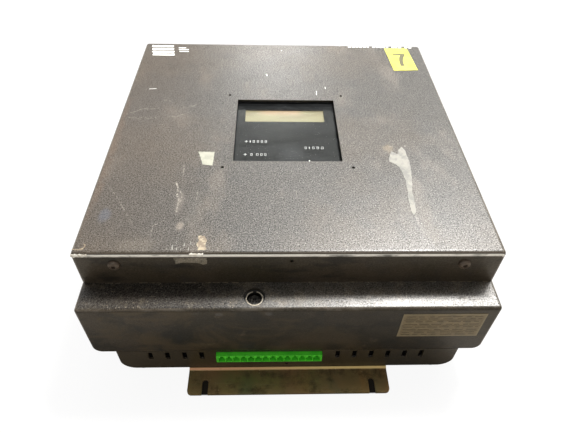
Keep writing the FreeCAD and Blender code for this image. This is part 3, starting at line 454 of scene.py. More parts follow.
def pan_paint():
    g = Enamel("pan_paint", walls=(45, 39, 25))
    x, y, z = g.xyz
    front = g.ramp(y, -142.2, -142.5)
    stain = g.noise(0.05, rough=0.65, offset=(61, 0, 8))
    g.tint(g.mul(g.ramp(stain, 0.48, 0.66), front), (58, 49, 35), by=0.6)
    g.tint(g.ramp(x, -20.0, -90.0), (66, 56, 38), by=0.45)
    under = g.ramp(g.normal[2], -0.8, -0.97)
    rub = g.noise(0.06, rough=0.7, stretch=(1.6, 0.4, 1))
    g.tint(g.mul(under, g.ramp(rub, 0.54, 0.70)), (120, 116, 110), by=0.5)
    g.tint(g.mul(g.bends, g.ramp(g.mid, 0.50, 0.66)), (92, 84, 70), by=0.30)
    return g.stove()


# ------------------------------------------------------------------ other finishes
def metal(name, base, dark, rough=0.32, stretch=(1, 1, 1), scale=0.4, tarnish=0.5, bump=0.12,
          edge=0.25):
    """Bare or plated metal; edge is the radius its edges are shaded to."""
    g = Graph(name, base)
    film = g.noise(scale, stretch=stretch)
    patch = g.noise(scale * 0.15, detail=3, offset=(9, 4, 1))
    fine = g.noise(scale * 6.0, detail=2, rough=0.5, stretch=stretch, offset=(2, 7, 5))
    g.tint(g.ramp(film, 0.38, 0.68), dark, by=tarnish)
    g.tint(g.ramp(patch, 0.52, 0.70), dark, by=tarnish * 0.8)
    roughness = g.add(g.line(film, 0.3, 0.7, rough - 0.07, rough + 0.12), g.swing(fine, 0.15))
    return g.finish(Metallic=1.0, Roughness=roughness,
                    Normal=g.bump(g.add(fine, g.mul(film, 1.6)), strength=bump, depth=0.08,
                                  after=g.round_edges(edge)))


def gold_passivate():
    """Zinc plate with a yellow chromate film: straw, olive and rose drift, grime, and a painted
    highlight along the joggle.
    """
    g = Graph("gold_passivate", (168, 134, 84))
    x, y, z = g.xyz
    film = g.noise(0.032, rough=0.62, distort=0.6)
    fine = g.noise(0.5, stretch=(0.25, 1.2, 1))
    drift = g.noise(0.014, detail=2, rough=0.5, offset=(8, 3, 1), stretch=(1, 0.5, 1))
    g.tint(g.ramp(film, 0.32, 0.52), (150, 130, 86))
    g.tint(g.ramp(film, 0.52, 0.66), (132, 126, 88), by=0.75)
    g.tint(g.ramp(drift, 0.48, 0.62), (164, 122, 92), by=0.65)
    g.tint(g.ramp(drift, 0.42, 0.34), (96, 110, 78), by=0.5)
    dirt = g.ramp(g.noise(0.09, detail=5, rough=0.68, offset=(40, 7, 2)), 0.44, 0.70)
    g.tint(dirt, (46, 38, 24), by=0.65)
    specks = g.ramp(g.cells(0.32, offset=(5, 5, 5)), 0.18, 0.08)
    speckled = g.ramp(g.noise(0.06, detail=2, rough=0.5), 0.5, 0.6)
    g.tint(specks, (196, 182, 140), by=g.mul(speckled, 0.5))
    scratch = g.noise(1.0, detail=2, stretch=(0.03, 1.6, 1), offset=(3, 4, 5))
    g.tint(g.ramp(scratch, 0.66, 0.72), (200, 190, 160), by=0.35)
    # the joggle at the root carries a painted highlight along its bend, strongest at the front: pink
    # to the left, straw to the right
    joggle_highlight = g.mul(g.band(g.math("ABSOLUTE", y), 143.1, 144.6, soft=0.35), g.ramp(z, 1.9, 2.2),
                   g.line(y, -60.0, 60.0, 1.0, 0.35))
    g.tint(joggle_highlight, g.mix(g.ramp(x, -50.0, 20.0), (246, 184, 140), (252, 220, 146)), by=0.85)
    roughness = g.add(g.line(fine, 0.3, 0.7, 0.34, 0.50), g.mul(dirt, 0.16), g.mul(joggle_highlight, -0.08))
    return g.finish(Metallic=g.blend(joggle_highlight, 0.72, 0.35), Roughness=roughness,
                    Normal=g.bump(g.add(fine, g.mul(film, 1.5)), strength=0.20, depth=0.10,
                                  after=g.round_edges(0.4)))


def plastic(name, base, alt, rough=0.42, grain=1.2, bump=0.15, spec=0.5, vary=0.5, edge=0.25,
            coat=0.0, dust=0.12, painted_shade_below=None):
    """Moulded or coated surface; the last argument, (z fully dark, z where the darkening starts),
    lays painted shade over the lower part, such as the inside of a bore.
    """
    g = Graph(name, base)
    fine = g.noise(grain, detail=3, offset=(8, 1, 6))
    g.tint(g.ramp(g.noise(0.11), 0.36, 0.66), alt, by=vary)
    settled = g.ramp(g.noise(0.6, rough=0.7, offset=(18, 1, 6)), 0.52, 0.74)
    g.tint(g.mul(settled, g.blend(g.up, 0.35, 1.0)), (190, 182, 166), by=dust)
    if painted_shade_below:
        full_shade_z, shade_start_z = painted_shade_below
        # painted shade, darker towards the bottom
        g.tint(g.ramp(g.xyz[2], shade_start_z, full_shade_z), (14, 13, 12))
    return g.finish(Roughness=g.line(fine, 0.3, 0.7, rough - 0.06, rough + 0.10),
                    Specular_IOR_Level=spec, Coat_Weight=coat, Coat_Roughness=0.12,
                    Normal=g.bump(fine, strength=bump, depth=0.06,
                                  after=g.round_edges(edge) if edge else None))


# copper runs on a board: direction, length and pitch of the runs
COPPER_RUNS = ((0.0, 9.0, 2.54), (math.pi / 2, 11.0, 2.54), (math.pi / 4, 22.0, 3.6))
VIA_PITCH = 5.08


def copper_run(g, seed, k, angle, length, pitch):
    place = g.shader("Mapping", Rotation=(0, 0, angle), Vector=g.position,
                     Location=(seed * 1.7 + k * 3.3, seed * 0.9 + k, 0))
    bricks = g.shader("TexBrick", Vector=place, Color1=(0, 0, 0, 1), Color2=(0, 0, 0, 1),
                      Mortar=(1, 1, 1, 1), Scale=1.0, Mortar_Size=0.30, Mortar_Smooth=0.1,
                      Brick_Width=length, Row_Height=pitch)
    zone = g.noise(0.035, detail=1, rough=0.5, offset=(seed * 11 + k * 50, k * 9, 0))
    return g.mul(bricks, g.ramp(zone, 0.50, 0.53))


def board(name, seed):
    """Glass-epoxy board: green mask over copper runs, tinned pads and a faint weave."""
    g = Graph(name, (22, 74, 40))
    g.tint(g.ramp(g.noise(0.03, detail=3, rough=0.5), 0.35, 0.65), (30, 88, 46))
    runs = g.largest(*[copper_run(g, seed, k, *run) for k, run in enumerate(COPPER_RUNS)])
    g.tint(runs, (66, 128, 58), by=0.75)
    grid = g.cells(1 / VIA_PITCH, randomness=0.0, offset=(seed, seed, 0), stretch=(1, 1, 0.0001))
    via_zone = g.noise(0.09, detail=1, rough=0.5, offset=(seed * 5, 3, 3))
    via = g.mul(g.ramp(grid, 0.19, 0.16), g.ramp(via_zone, 0.53, 0.56))
    g.tint(via, (196, 196, 190))
    # painted shade in the via holes
    g.tint(g.mul(g.ramp(grid, 0.08, 0.06), via), (18, 16, 12))
    cut_edge = g.ramp(g.math("ABSOLUTE", g.normal[2]), 0.6, 0.4)
    g.tint(cut_edge, (150, 146, 92))
    dirt = g.ramp(g.noise(0.05, offset=(2, 2, seed)), 0.5, 0.75)
    g.tint(dirt, (120, 112, 90), by=0.22)
    height = g.add(g.mul(runs, 1.0), g.add(g.mul(via, 1.4), g.mul(g.wave(0.9), 0.15)))
    return g.finish(Metallic=g.mul(via, 0.9), Roughness=g.blend(dirt, 0.32, 0.55),
                    Normal=g.bump(height, strength=0.4, depth=0.12))


def pane_haze(g, haze):
    """How much pale haze lies on the pane: dust, finger marks and wiped streaks."""
    x, y, z = g.xyz
    streak = g.noise(0.11, stretch=(0.4, 1.2, 1), offset=(41, 3, 0), distort=1.4)
    dust = g.ramp(g.cells(0.28, offset=(7, 3, 0)), 0.14, 0.06)
    # a pale oval patch
    px, py = g.add(x, -4.0), g.add(y, 22.0)
    reach = g.math("SQRT", g.add(g.mul(px, px, 0.004), g.mul(py, py, 0.0065)))
    smear = g.mul(g.ramp(g.add(reach, g.swing(streak, 1.6)), 1.0, 0.2), 0.085)
    # a clearer diagonal band above it
    wiped = g.band(g.add(y, g.mul(x, -0.16), g.swing(streak, 10.0)), -9.5, -4.5, soft=2.0)
    amount = g.add(g.mul(g.ramp(haze, 0.36, 0.70), 0.06), g.mul(g.ramp(streak, 0.54, 0.70), 0.05),
                   0.045, smear)
    amount = g.mul(amount, g.blend(wiped, 1.0, 0.35))
    return g.add(amount, g.mul(dust, 0.18), clamp=True)


def window_acrylic():
    """Thin clear acrylic: see-through, with a glossy top, haze and finger marks."""
    g = Graph("window_acrylic")
    haze = g.noise(0.045, stretch=(0.6, 1.3, 1), offset=(4, 9, 0), distort=0.8)
    fine = g.noise(0.5, rough=0.65, stretch=(0.5, 1, 1))
    front_only = g.math("SUBTRACT", 1.0, g.node("NewGeometry").outputs["Backfacing"])
    clear = g.shader("BsdfTransparent", Color=(0.90, 0.91, 0.90, 1))
    gloss = g.shader("BsdfGlossy", Color=(1, 1, 1, 1),
                     Roughness=g.line(haze, 0.3, 0.7, 0.012, 0.03))
    shine = g.mul(g.shader("Fresnel", IOR=1.49), g.line(fine, 0.3, 0.7, 0.004, 0.006), front_only)
    pale = g.shader("BsdfDiffuse", Color=lin((168, 172, 176)))
    amount = g.mul(pane_haze(g, haze), front_only, 0.32)
    surface = g.mix_shaders(amount, g.mix_shaders(shine, clear, gloss), pale)
    g.node("OutputMaterial", Surface=surface)
    return g.material


LCD_CELL_PITCH = 3.55
RIBBON_PITCH = 1.27


def lcd_cell():
    g = Graph("lcd_cell", (150, 142, 112))
    x, y, z = g.xyz
    g.tint(g.ramp(g.noise(0.05, detail=3, rough=0.5, stretch=(0.5, 2.0, 1)), 0.35, 0.65),
           (140, 130, 104))
    # faint lines between the character cells, then a paler lower edge
    g.tint(g.ramp(g.fold(x, LCD_CELL_PITCH), 0.44, 0.47), (120, 120, 96), by=0.03)
    g.tint(g.line(y, 20.9, 24.5, 0.45, 0.0), (162, 156, 118))
    # the cell turns mauve towards its upper middle
    uneven = g.mul(g.noise(0.06, detail=3, offset=(2, 4, 3)), 6.0)
    upper_mauve = g.mul(g.ramp(x, -28.0, -14.0), g.ramp(x, 17.0, 6.0), g.ramp(g.add(y, uneven), 31.5, 38.5))
    g.tint(upper_mauve, (176, 148, 124), by=0.75)
    # a faint glow in the cell's own colour: painted light that brightens it
    return g.finish(Roughness=0.22, Specular_IOR_Level=0.5, Emission_Color=g.color,
                    Emission_Strength=0.03,
                    Normal=g.bump(g.noise(0.7, detail=2, rough=0.5), strength=0.03, depth=0.05))


def adhesive(name, base, alt, rough=0.55, scale=0.4, lo=0.42, hi=0.62, bump=0.5,
             fleck=(250, 247, 240), spec=0.5):
    """Old adhesive, torn paper, dried paint, or a black sheet of painted shade; alt takes over as
    the noise goes from lo to hi.
    """
    g = Graph(name, base)
    coarse = g.noise(scale, detail=5, rough=0.68, offset=(6, 1, 3))
    fine = g.noise(scale * 5, detail=3)
    g.tint(g.ramp(coarse, lo, hi), alt)
    g.tint(g.ramp(fine, 0.50, 0.70), fleck, by=0.25)
    return g.finish(Roughness=g.line(fine, 0.3, 0.7, rough - 0.1, rough + 0.15),
                    Specular_IOR_Level=spec,
                    Normal=g.bump(g.add(coarse, g.mul(fine, 0.4)), strength=bump, depth=0.08))


def ink(name, base, alt, rough=0.4, wear=0.25):
    g = Graph(name, base)
    fine = g.noise(2.6, detail=2, rough=0.5, offset=(1, 1, 1))
    g.tint(g.ramp(g.noise(0.9, rough=0.65), 0.50, 0.66), alt, by=wear)
    g.tint(g.ramp(fine, 0.60, 0.72), alt, by=wear * 0.8)
    return g.finish(Roughness=g.line(fine, 0.3, 0.7, rough - 0.08, rough + 0.1),
                    Normal=g.bump(fine, strength=0.15, depth=0.04))


def enamelled_copper():
    g = Graph("enamelled_copper", (190, 104, 52))
    cloud = g.noise(0.8)
    g.tint(g.ramp(cloud, 0.38, 0.66), (132, 62, 28))
    return g.finish(Metallic=0.75, Roughness=g.line(cloud, 0.3, 0.7, 0.16, 0.34),
                    Coat_Weight=0.6, Coat_Roughness=0.1,
                    Normal=g.bump(cloud, strength=0.12, depth=0.05))


def coil_tape():
    g = Graph("coil_tape", (214, 170, 44))
    turns = g.wave(0.12, direction="Z", distort=0.6)
    cloud = g.noise(0.7)
    g.tint(g.ramp(turns, 0.40, 0.75), (190, 146, 34))
    g.tint(g.ramp(cloud, 0.5, 0.7), (120, 92, 30), by=0.25)
    return g.finish(Roughness=g.line(cloud, 0.3, 0.7, 0.26, 0.42),
                    Normal=g.bump(g.add(turns, g.mul(cloud, 0.3)), strength=0.25, depth=0.1))


def lamination_steel():
    g = Graph("lamination_steel", (58, 56, 58))
    sheets = g.wave(0.32, direction="Y", distort=0.2)
    cloud = g.noise(0.6)
    g.tint(g.ramp(sheets, 0.3, 0.8), (88, 84, 82))
    g.tint(g.ramp(cloud, 0.5, 0.7), (110, 78, 50), by=0.5)
    return g.finish(Metallic=0.6, Roughness=g.line(cloud, 0.3, 0.7, 0.34, 0.52),
                    Normal=g.bump(g.add(sheets, g.mul(cloud, 0.3)), strength=0.35, depth=0.12))


def ribbon_grey():
    g = Graph("ribbon_grey", (142, 142, 146))
    groove = g.ramp(g.fold(g.xyz[0], RIBBON_PITCH), 0.40, 0.49)
    cloud = g.noise(0.5, detail=3)
    g.tint(g.ramp(cloud, 0.4, 0.65), (124, 124, 130))
    # painted shade in the grooves between the conductors
    g.tint(groove, (70, 70, 74), by=0.45)
    height = g.add(g.mul(groove, -1.0), g.mul(cloud, 0.1))
    return g.finish(Roughness=0.44, Normal=g.bump(height, strength=0.5, depth=0.3))


def label_film():
    g = Graph("label_film", (128, 112, 80))
    x, y, z = g.xyz
    cloud = g.noise(0.16, detail=5, rough=0.65)
    fine = g.noise(0.9, rough=0.7, stretch=(0.5, 1, 1))
    g.tint(g.ramp(cloud, 0.36, 0.66), (106, 93, 67))
    g.tint(g.ramp(fine, 0.54, 0.70), (134, 120, 90), by=0.4)
    # pale rim all round
    rim = g.largest(g.largest(g.ramp(x, 73.0, 71.6), g.ramp(x, 123.4, 124.8)),
                    g.largest(g.ramp(z, 47.0, 45.6), g.ramp(z, 70.0, 71.4)))
    g.tint(rim, (138, 128, 102), by=0.55)
    return g.finish(Roughness=g.line(fine, 0.3, 0.7, 0.36, 0.55),
                    Normal=g.bump(g.add(cloud, g.mul(fine, 0.4)), strength=0.3, depth=0.12))


def tag_yellow():
    g = Graph("tag_yellow", (186, 184, 58))
    fine = g.noise(1.2, detail=3)
    g.tint(g.ramp(g.noise(0.12), 0.36, 0.66), (180, 176, 72))
    g.tint(g.ramp(fine, 0.56, 0.72), (172, 166, 62), by=0.25)
    return g.finish(Roughness=g.line(fine, 0.3, 0.7, 0.34, 0.5), Specular_IOR_Level=0.5,
                    Normal=g.bump(fine, strength=0.12, depth=0.05))


# each material and the parts that wear it
FINISHES = (
    (lid_paint(), "lid"),
    (shell_paint(), "housing_shell"),
    (pan_paint(), "base_pan"),
    (gold_passivate(), "mounting_bracket_front mounting_bracket_rear"),
    (plastic("worn_oxide", (92, 78, 64), (58, 48, 39), rough=0.36, grain=2.2, bump=0.2, vary=0.8,
             edge=0.3, dust=0.2), "lid_screws"),
    (metal("bright_zinc", (196, 198, 200), (140, 142, 146), rough=0.28, scale=0.8, tarnish=0.45,
           edge=0.15),
     "shell_rivets bracket_rivets board_standoffs board_screws transistor_screws lid_nuts "
     "lcd_screws display_posts display_screws"),
    (metal("lcd_bezel_steel", (120, 120, 118), (70, 70, 70), rough=0.36, scale=0.5, tarnish=0.6),
     "lcd_frame"),
    (plastic("foot_rubber", (30, 29, 28), (44, 42, 40), rough=0.72, grain=1.6, bump=0.35,
             dust=0.35), "rubber_feet"),
    (board("board_main", seed=3), "main_board"),
    (board("board_display", seed=11), "display_board"),
    (board("board_lcd", seed=23), "lcd_board"),
    (plastic("header_green", (84, 226, 52), (62, 202, 42), rough=0.34, grain=1.4, bump=0.12,
             vary=0.7, dust=0.16, edge=0.3), "terminal_header"),
    (metal("tinned_pins", (206, 206, 200), (150, 150, 146), rough=0.24, scale=1.0, tarnish=0.4,
           edge=0.1), "header_pins"),
    (plastic("black_moulding", (30, 30, 31), (42, 41, 40), grain=1.8, dust=0.16),
     "socket_body ribbon_header display_frame alarm_sounder ribbon_plugs"),
    # the shield is a pale non-metal finish whose colour stands in for the nickel's highlight, with
    # painted shade inside its bore
    (plastic("socket_shield_painted_light_and_shade", (226, 216, 196), (184, 172, 148), rough=0.28, grain=2.0,
             bump=0.1, edge=0.15, dust=0.1, painted_shade_below=(75.5, 76.5)), "socket_shield"),
    (plastic("socket_core_grey", (30, 28, 24), (20, 18, 15), rough=0.5, grain=1.6, dust=0.3,
             edge=0.12), "socket_core"),
    (plastic("lead_grey", (122, 122, 126), (100, 100, 104), rough=0.46, grain=2.2, dust=0.1,
             edge=0.0), "socket_lead"),
    (plastic("arrester_blue", (34, 66, 150), (26, 52, 124), rough=0.22, grain=0.8, coat=0.5,
             edge=0.2), "surge_arresters"),
    (metal("extruded_alloy", (190, 191, 194), (156, 157, 160), rough=0.34, stretch=(0.08, 1, 1),
           scale=0.9, bump=0.2, edge=0.2), "heat_sink"),
    (plastic("epoxy_package", (34, 34, 36), (46, 45, 45), rough=0.48, grain=3.0, bump=0.2,
             dust=0.14, edge=0.15),
     "power_transistors microcontroller logic_chips display_drivers"),
    (plastic("capacitor_sleeve", (30, 40, 84), (24, 32, 66), rough=0.20, grain=0.7, bump=0.08,
             coat=0.6, edge=0.5), "reservoir_capacitors"),
    (plastic("powder_core", (196, 188, 84), (170, 160, 66), rough=0.5, grain=2.2, bump=0.3,
             edge=0.3), "choke_core"),
    (enamelled_copper(), "choke_winding"),
    (plastic("relay_case", (52, 54, 58), (40, 42, 46), rough=0.30, grain=1.8, dust=0.18,
             edge=0.3), "relays"),
    (metal("spring_brass", (206, 176, 104), (150, 122, 66), rough=0.26, scale=0.8, edge=0.15),
     "fuse_clips"),
    (plastic("base_cream", (206, 196, 160), (186, 174, 136), rough=0.44, grain=1.4, edge=0.3),
     "fuse_base"),
    (metal("manganin_strip", (184, 146, 104), (130, 98, 66), rough=0.36, stretch=(0.2, 1, 1),
           scale=0.9, tarnish=0.6, edge=0.2), "current_shunt"),
    (lamination_steel(), "transformer_core"),
    (coil_tape(), "transformer_coil"),
    (window_acrylic(), "window_pane"),
    (plastic("window_film", (17, 18, 19), (26, 27, 27), rough=0.12, grain=0.6, bump=0.0,
             spec=0.42, vary=0.6, edge=0.0, dust=0.03), "window_mask"),
    (plastic("gasket_foam", (26, 26, 26), (40, 40, 38), rough=0.85, grain=2.6, bump=0.6,
             edge=0.0), "pane_gasket"),
    (lcd_cell(), "lcd_glass"),
    (plastic("lcd_diffuser", (228, 222, 190), (214, 206, 172), rough=0.4, grain=1.0, dust=0.05),
     "lcd_backlight"),
    (plastic("white_nylon", (214, 212, 202), (196, 192, 180), dust=0.1), "lcd_spacers"),
    (plastic("lamp_red", (150, 24, 18), (112, 14, 12), rough=0.12, grain=0.6, bump=0.04,
             coat=0.8, dust=0.04), "status_lamps"),
    (plastic("trimmer_blue", (30, 62, 140), (24, 50, 118), rough=0.38, grain=1.8, edge=0.2),
     "contrast_trimmer"),
    (plastic("trimmer_rotor_cream", (214, 206, 178), (194, 184, 150), rough=0.36, grain=1.4,
             edge=0.15), "trimmer_rotor"),
    (plastic("fuse_ceramic", (226, 222, 210), (208, 202, 186), rough=0.16, grain=0.6, bump=0.05,
             coat=0.5), "fuse_tube"),
    (metal("fuse_cap_nickel", (214, 210, 202), (168, 162, 150), rough=0.20, scale=0.9,
           tarnish=0.4, edge=0.3), "fuse_caps"),
    (ribbon_grey(), "ribbon_cable"),
    (label_film(), "rating_label"),
    (tag_yellow(), "lot_tag"))

finish_of = {part: material for material, parts in FINISHES for part in parts.split()}
for part, part_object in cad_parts.items():
    if not part_object.data.materials:
        part_object.data.materials.append(finish_of[part])
    for slot in part_object.material_slots:
        slot.link = "OBJECT"
        slot.material = finish_of[part]


# ------------------------------------------------------------------ thin applied pieces
def finish_piece(name, bm, material, body="lid_assembly"):
    bmesh.ops.recalc_face_normals(bm, faces=bm.faces)
    mesh = bpy.data.meshes.new(name)
    bm.to_mesh(mesh)
    bm.free()
    mesh.materials.append(material)
    piece = bpy.data.objects.new(name, mesh)
    bpy.context.scene.collection.objects.link(piece)
    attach(piece, body)


def add_prism(bm, outline, lo, hi, axis):
    """A closed prism from lo to hi along axis; the outline is (x, y), or (x, z) for axis y."""
    def ring(h):
        places = [(u, v, h) if axis == "z" else (u, h, v) for u, v in outline]
        return [bm.verts.new(Vector(place) * MM) for place in places]
    low, high = ring(lo), ring(hi)
    bm.faces.new(low[::-1])
    bm.faces.new(high)
    for i in range(len(outline)):
        j = (i + 1) % len(outline)
        bm.faces.new((low[i], low[j], high[j], high[i]))


def add_piece(name, prisms, material, body="lid_assembly", axis="z"):
    """One object made of prisms, each given as (outline, lo, hi)."""
    bm = bmesh.new()
    for outline, lo, hi in prisms:
        add_prism(bm, outline, lo, hi, axis)
    finish_piece(name, bm, material, body)


def between(outlines, lo, hi):
    return [(outline, lo, hi) for outline in outlines]


def raised(outlines, surface, thickness):
    """Prisms standing thickness above a level surface, and sunk slightly into it."""
    return between(outlines, surface - 0.02, surface + thickness)


def ragged(outline, step, tear, seed):
    """The outline cut into steps, with torn edges."""
    rand = random.Random(seed)
    out = []
    for i, a in enumerate(outline):
        b = outline[(i + 1) % len(outline)]
        count = max(1, int(math.hypot(b[0] - a[0], b[1] - a[1]) / step))
        for j in range(count):
            t = j / count
            w = tear if j else tear * 0.4
            out.append((a[0] + (b[0] - a[0]) * t + rand.uniform(-w, w),
                        a[1] + (b[1] - a[1]) * t + rand.uniform(-w, w)))
    return out


def rect(x0, y0, x1, y1, radius=0.0, steps=4):
    if radius <= 0:
        return [(x0, y0), (x1, y0), (x1, y1), (x0, y1)]
    out = []
    for cx, cy, start in ((x1 - radius, y0 + radius, -90), (x1 - radius, y1 - radius, 0),
                          (x0 + radius, y1 - radius, 90), (x0 + radius, y0 + radius, 180)):
        for i in range(steps + 1):
            a = math.radians(start + 90 * i / steps)
            out.append((cx + radius * math.cos(a), cy + radius * math.sin(a)))
    return out


def sliver(ax, ay, bx, by, half_width, start_scale=1.0):
    """A straight sliver from a to b, its half width scaled by start_scale at a."""
    dx, dy = bx - ax, by - ay
    length = math.hypot(dx, dy)
    nx, ny = -dy / length * half_width, dx / length * half_width
    sx, sy = nx * start_scale, ny * start_scale
    return [(ax + sx, ay + sy), (ax - sx, ay - sy), (bx - nx, by - ny), (bx + nx, by + ny)]


LID_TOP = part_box("lid")[1].z * 1000
LID_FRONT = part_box("lid")[0].y * 1000
LID_BEND_RADIUS = 3.0
PANE_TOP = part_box("window_pane")[1].z * 1000
TAG_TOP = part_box("lot_tag")[1].z * 1000
LABEL_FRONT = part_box("rating_label")[0].y * 1000
SHELL_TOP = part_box("housing_shell")[1].z * 1000

white = ink("screen_white", (226, 226, 222), (150, 148, 142), wear=0.35)
print_grey = ink("legend_print", (168, 170, 168), (126, 128, 126), wear=0.3)
tag_ink = ink("tag_ink", (70, 66, 30), (104, 98, 44), wear=0.4, rough=0.5)
label_ink = ink("label_lines", (70, 60, 42), (96, 84, 60), wear=0.5)
pale = adhesive("peel_pale", (124, 122, 114), (100, 99, 94), scale=0.13, bump=0.25,
                fleck=(166, 164, 152))
patch_paper = adhesive("patch_paper", (146, 146, 132), (134, 134, 121), scale=0.25, bump=0.25,
                       fleck=(166, 166, 150))
tape_aged = adhesive("tape_aged", (132, 124, 108), (98, 91, 76), scale=0.35, rough=0.4, bump=0.3)
tape_cream = adhesive("tape_cream", (106, 92, 75), (152, 140, 116), scale=0.30, rough=0.5,
                      bump=0.3, lo=0.44, hi=0.60, fleck=(172, 163, 140))
bare_edge = adhesive("bare_edge", (240, 236, 226), (206, 198, 182), scale=0.6)
seam_dust = adhesive("seam_dust", (112, 100, 80), (66, 58, 46), scale=0.5)
# black for the sheet of painted shade behind the vents
vent_shade_black = adhesive("vent_shade_black", (7, 7, 7), (11, 10, 10), scale=0.8, rough=0.85, bump=0.2,
                       fleck=(14, 13, 12), spec=0.05)

# window legends: rows of small open boxes and plus marks in place of wording
LEGEND_HALF_HEIGHT = 1.3
LEGEND_LINE = 0.30
PLUS_WIDTH = 2.4
PLUS_HALF_LINE = 0.24
SOLID_BELOW = 1.0  # cells narrower than this are filled
# has a plus, left end x, middle y, cells as (distance from the left end, width)
LEGENDS = (
    (True, -32.8, -8.1, ((3.9, 0.6), (6.2, 1.5), (9.4, 1.5), (12.4, 1.5), (15.4, 1.5))),
    (True, -33.1, -23.9, ((5.2, 1.4), (9.4, 1.7), (12.6, 1.5), (15.4, 1.5))),
    (False, 12.8, -15.7, ((0.2, 1.5), (3.4, 0.6), (6.0, 1.6), (9.3, 1.6), (12.6, 1.8))))


def plus_mark(x, y):
    middle = x + PLUS_WIDTH / 2
    left, right = middle - PLUS_HALF_LINE, middle + PLUS_HALF_LINE
    return [rect(x, y - PLUS_HALF_LINE, x + PLUS_WIDTH, y + PLUS_HALF_LINE),
            rect(left, y + PLUS_HALF_LINE, right, y + LEGEND_HALF_HEIGHT),
            rect(left, y - LEGEND_HALF_HEIGHT, right, y - PLUS_HALF_LINE)]


def legend_cell(x, y, width):
    x1, y0, y1 = x + width, y - LEGEND_HALF_HEIGHT, y + LEGEND_HALF_HEIGHT
    t = LEGEND_LINE
    if width < SOLID_BELOW:
        return [rect(x, y0, x1, y1)]
    return [rect(x, y0, x1, y0 + t), rect(x, y1 - t, x1, y1),
            rect(x, y0 + t, x + t, y1 - t), rect(x1 - t, y0 + t, x1, y1 - t)]


legend_outlines = []
for has_plus, x, y, cells in LEGENDS:
    if has_plus:
        legend_outlines += plus_mark(x, y)
    for distance, width in cells:
        legend_outlines += legend_cell(x + distance, y, width)
add_piece("window_legends", raised(legend_outlines, PANE_TOP, 0.08), print_grey)

# emblem: a stack of plain stripes with shorter bars beside them; x0, y0, x1, y1
CORNER_STRIPES = (
    (-126.5, 134.6, -106.0, 138.0), (-125.5, 129.2, -105.0, 132.6),
    (-124.5, 123.8, -104.0, 127.2), (-123.5, 118.4, -103.0, 121.8),
    (-101.0, 132.8, -94.0, 134.4), (-100.5, 129.4, -91.0, 130.9), (-99.5, 125.8, -90.5, 127.2))
add_piece("corner_stripes",
          raised([rect(*stripe, radius=0.6) for stripe in CORNER_STRIPES], LID_TOP, 0.08), white)

# the peeled patch's specks, further on, draw from this same sequence
lid_random = random.Random(7)


def rear_marks():
    """A row of small white blocks at the lid's rear right."""
    outlines = []
    x = 62.5
    while x < 126.0:
        width = lid_random.choice((2.2, 2.8, 3.2, 2.4))
        if x + width > 126.5:
            break
        outlines.append(rect(x, 138.0, x + width, 141.0, radius=0.4))
        x += width + lid_random.choice((0.9, 1.0, 0.9, 3.2))
    return outlines


add_piece("rear_marks", raised(rear_marks(), LID_TOP, 0.08), white)

# flecks of white paint: two on the pane, ticks and specks on the lid
PANE_FLECKS = (
    ragged([(15.2, -32.2), (15.9, -32.4), (16.3, -30.6), (15.7, -30.4)],
           step=0.8, tear=0.12, seed=61),
    ragged([(7.4, -35.0), (9.0, -35.0), (8.6, -34.5), (7.6, -34.4)],
           step=0.8, tear=0.1, seed=62))
# start x, y, end x, y, half width
LID_FLECKS = (
    (26.5, 59.4, 26.1, 53.1, 0.28), (-16.9, 86.6, -16.2, 83.6, 0.42),
    (-3.0, 130.4, -2.4, 130.0, 0.45), (53.8, 141.1, 54.6, 140.5, 0.5),
    (-116.5, 60.2, -110.5, 60.9, 0.25), (34.5, 66.0, 34.3, 62.8, 0.2))
lid_flecks = [ragged(sliver(*fleck), step=1.1, tear=0.08, seed=70 + k)
              for k, fleck in enumerate(LID_FLECKS)]
add_piece("paint_flecks", raised(PANE_FLECKS, PANE_TOP, 0.08) + raised(lid_flecks, LID_TOP, 0.06),
          white)

# patches left where labels were torn away
PAPER_PATCH = [(-66.0, -24.6), (-54.2, -24.9), (-54.6, -40.2), (-61.8, -39.2)]
add_piece("paper_patch",
          raised([ragged(PAPER_PATCH, step=1.4, tear=0.25, seed=3)], LID_TOP, 0.10), patch_paper)

PEELED_PATCH = [
    (77.3, -23.2), (81.5, -26.8), (83.1, -21.3), (86.4, -17.6), (88.0, -21.8), (88.5, -30.8),
    (88.9, -36.1), (87.9, -47.2), (86.1, -58.6), (84.5, -68.0), (84.3, -75.5), (83.8, -82.9),
    (83.2, -87.1), (81.2, -89.6), (80.4, -87.1), (80.3, -81.4), (80.7, -74.0), (81.4, -66.4),
    (82.1, -57.0), (81.5, -48.9), (80.3, -41.7), (77.8, -38.3), (74.1, -35.3), (74.5, -30.9)]
# specks round the patch: x, y, size
PEELED_SPECKS = (
    (88.9, -16.7, 0.75), (87.0, -82.5, 0.35), (87.8, -95.1, 0.55), (84.6, -97.5, 0.5),
    (77.7, -17.2, 0.6), (81.0, -102.5, 0.4), (72.8, -24.5, 0.3), (86.0, -99.6, 0.3),
    (90.5, -20.0, 0.25), (79.8, -15.6, 0.3))
SPECK_CORNERS = (0, 1.2, 2.4, 3.7, 5.0)  # radians
specks = [[(x + size * math.cos(a) * lid_random.uniform(0.6, 1.2),
            y + size * math.sin(a) * lid_random.uniform(0.6, 1.5)) for a in SPECK_CORNERS]
          for x, y, size in PEELED_SPECKS]
add_piece("peeled_patch",
          raised([ragged(PEELED_PATCH, step=1.8, tear=0.22, seed=5)], LID_TOP, 0.09)
          + raised(specks, LID_TOP, 0.06), pale)

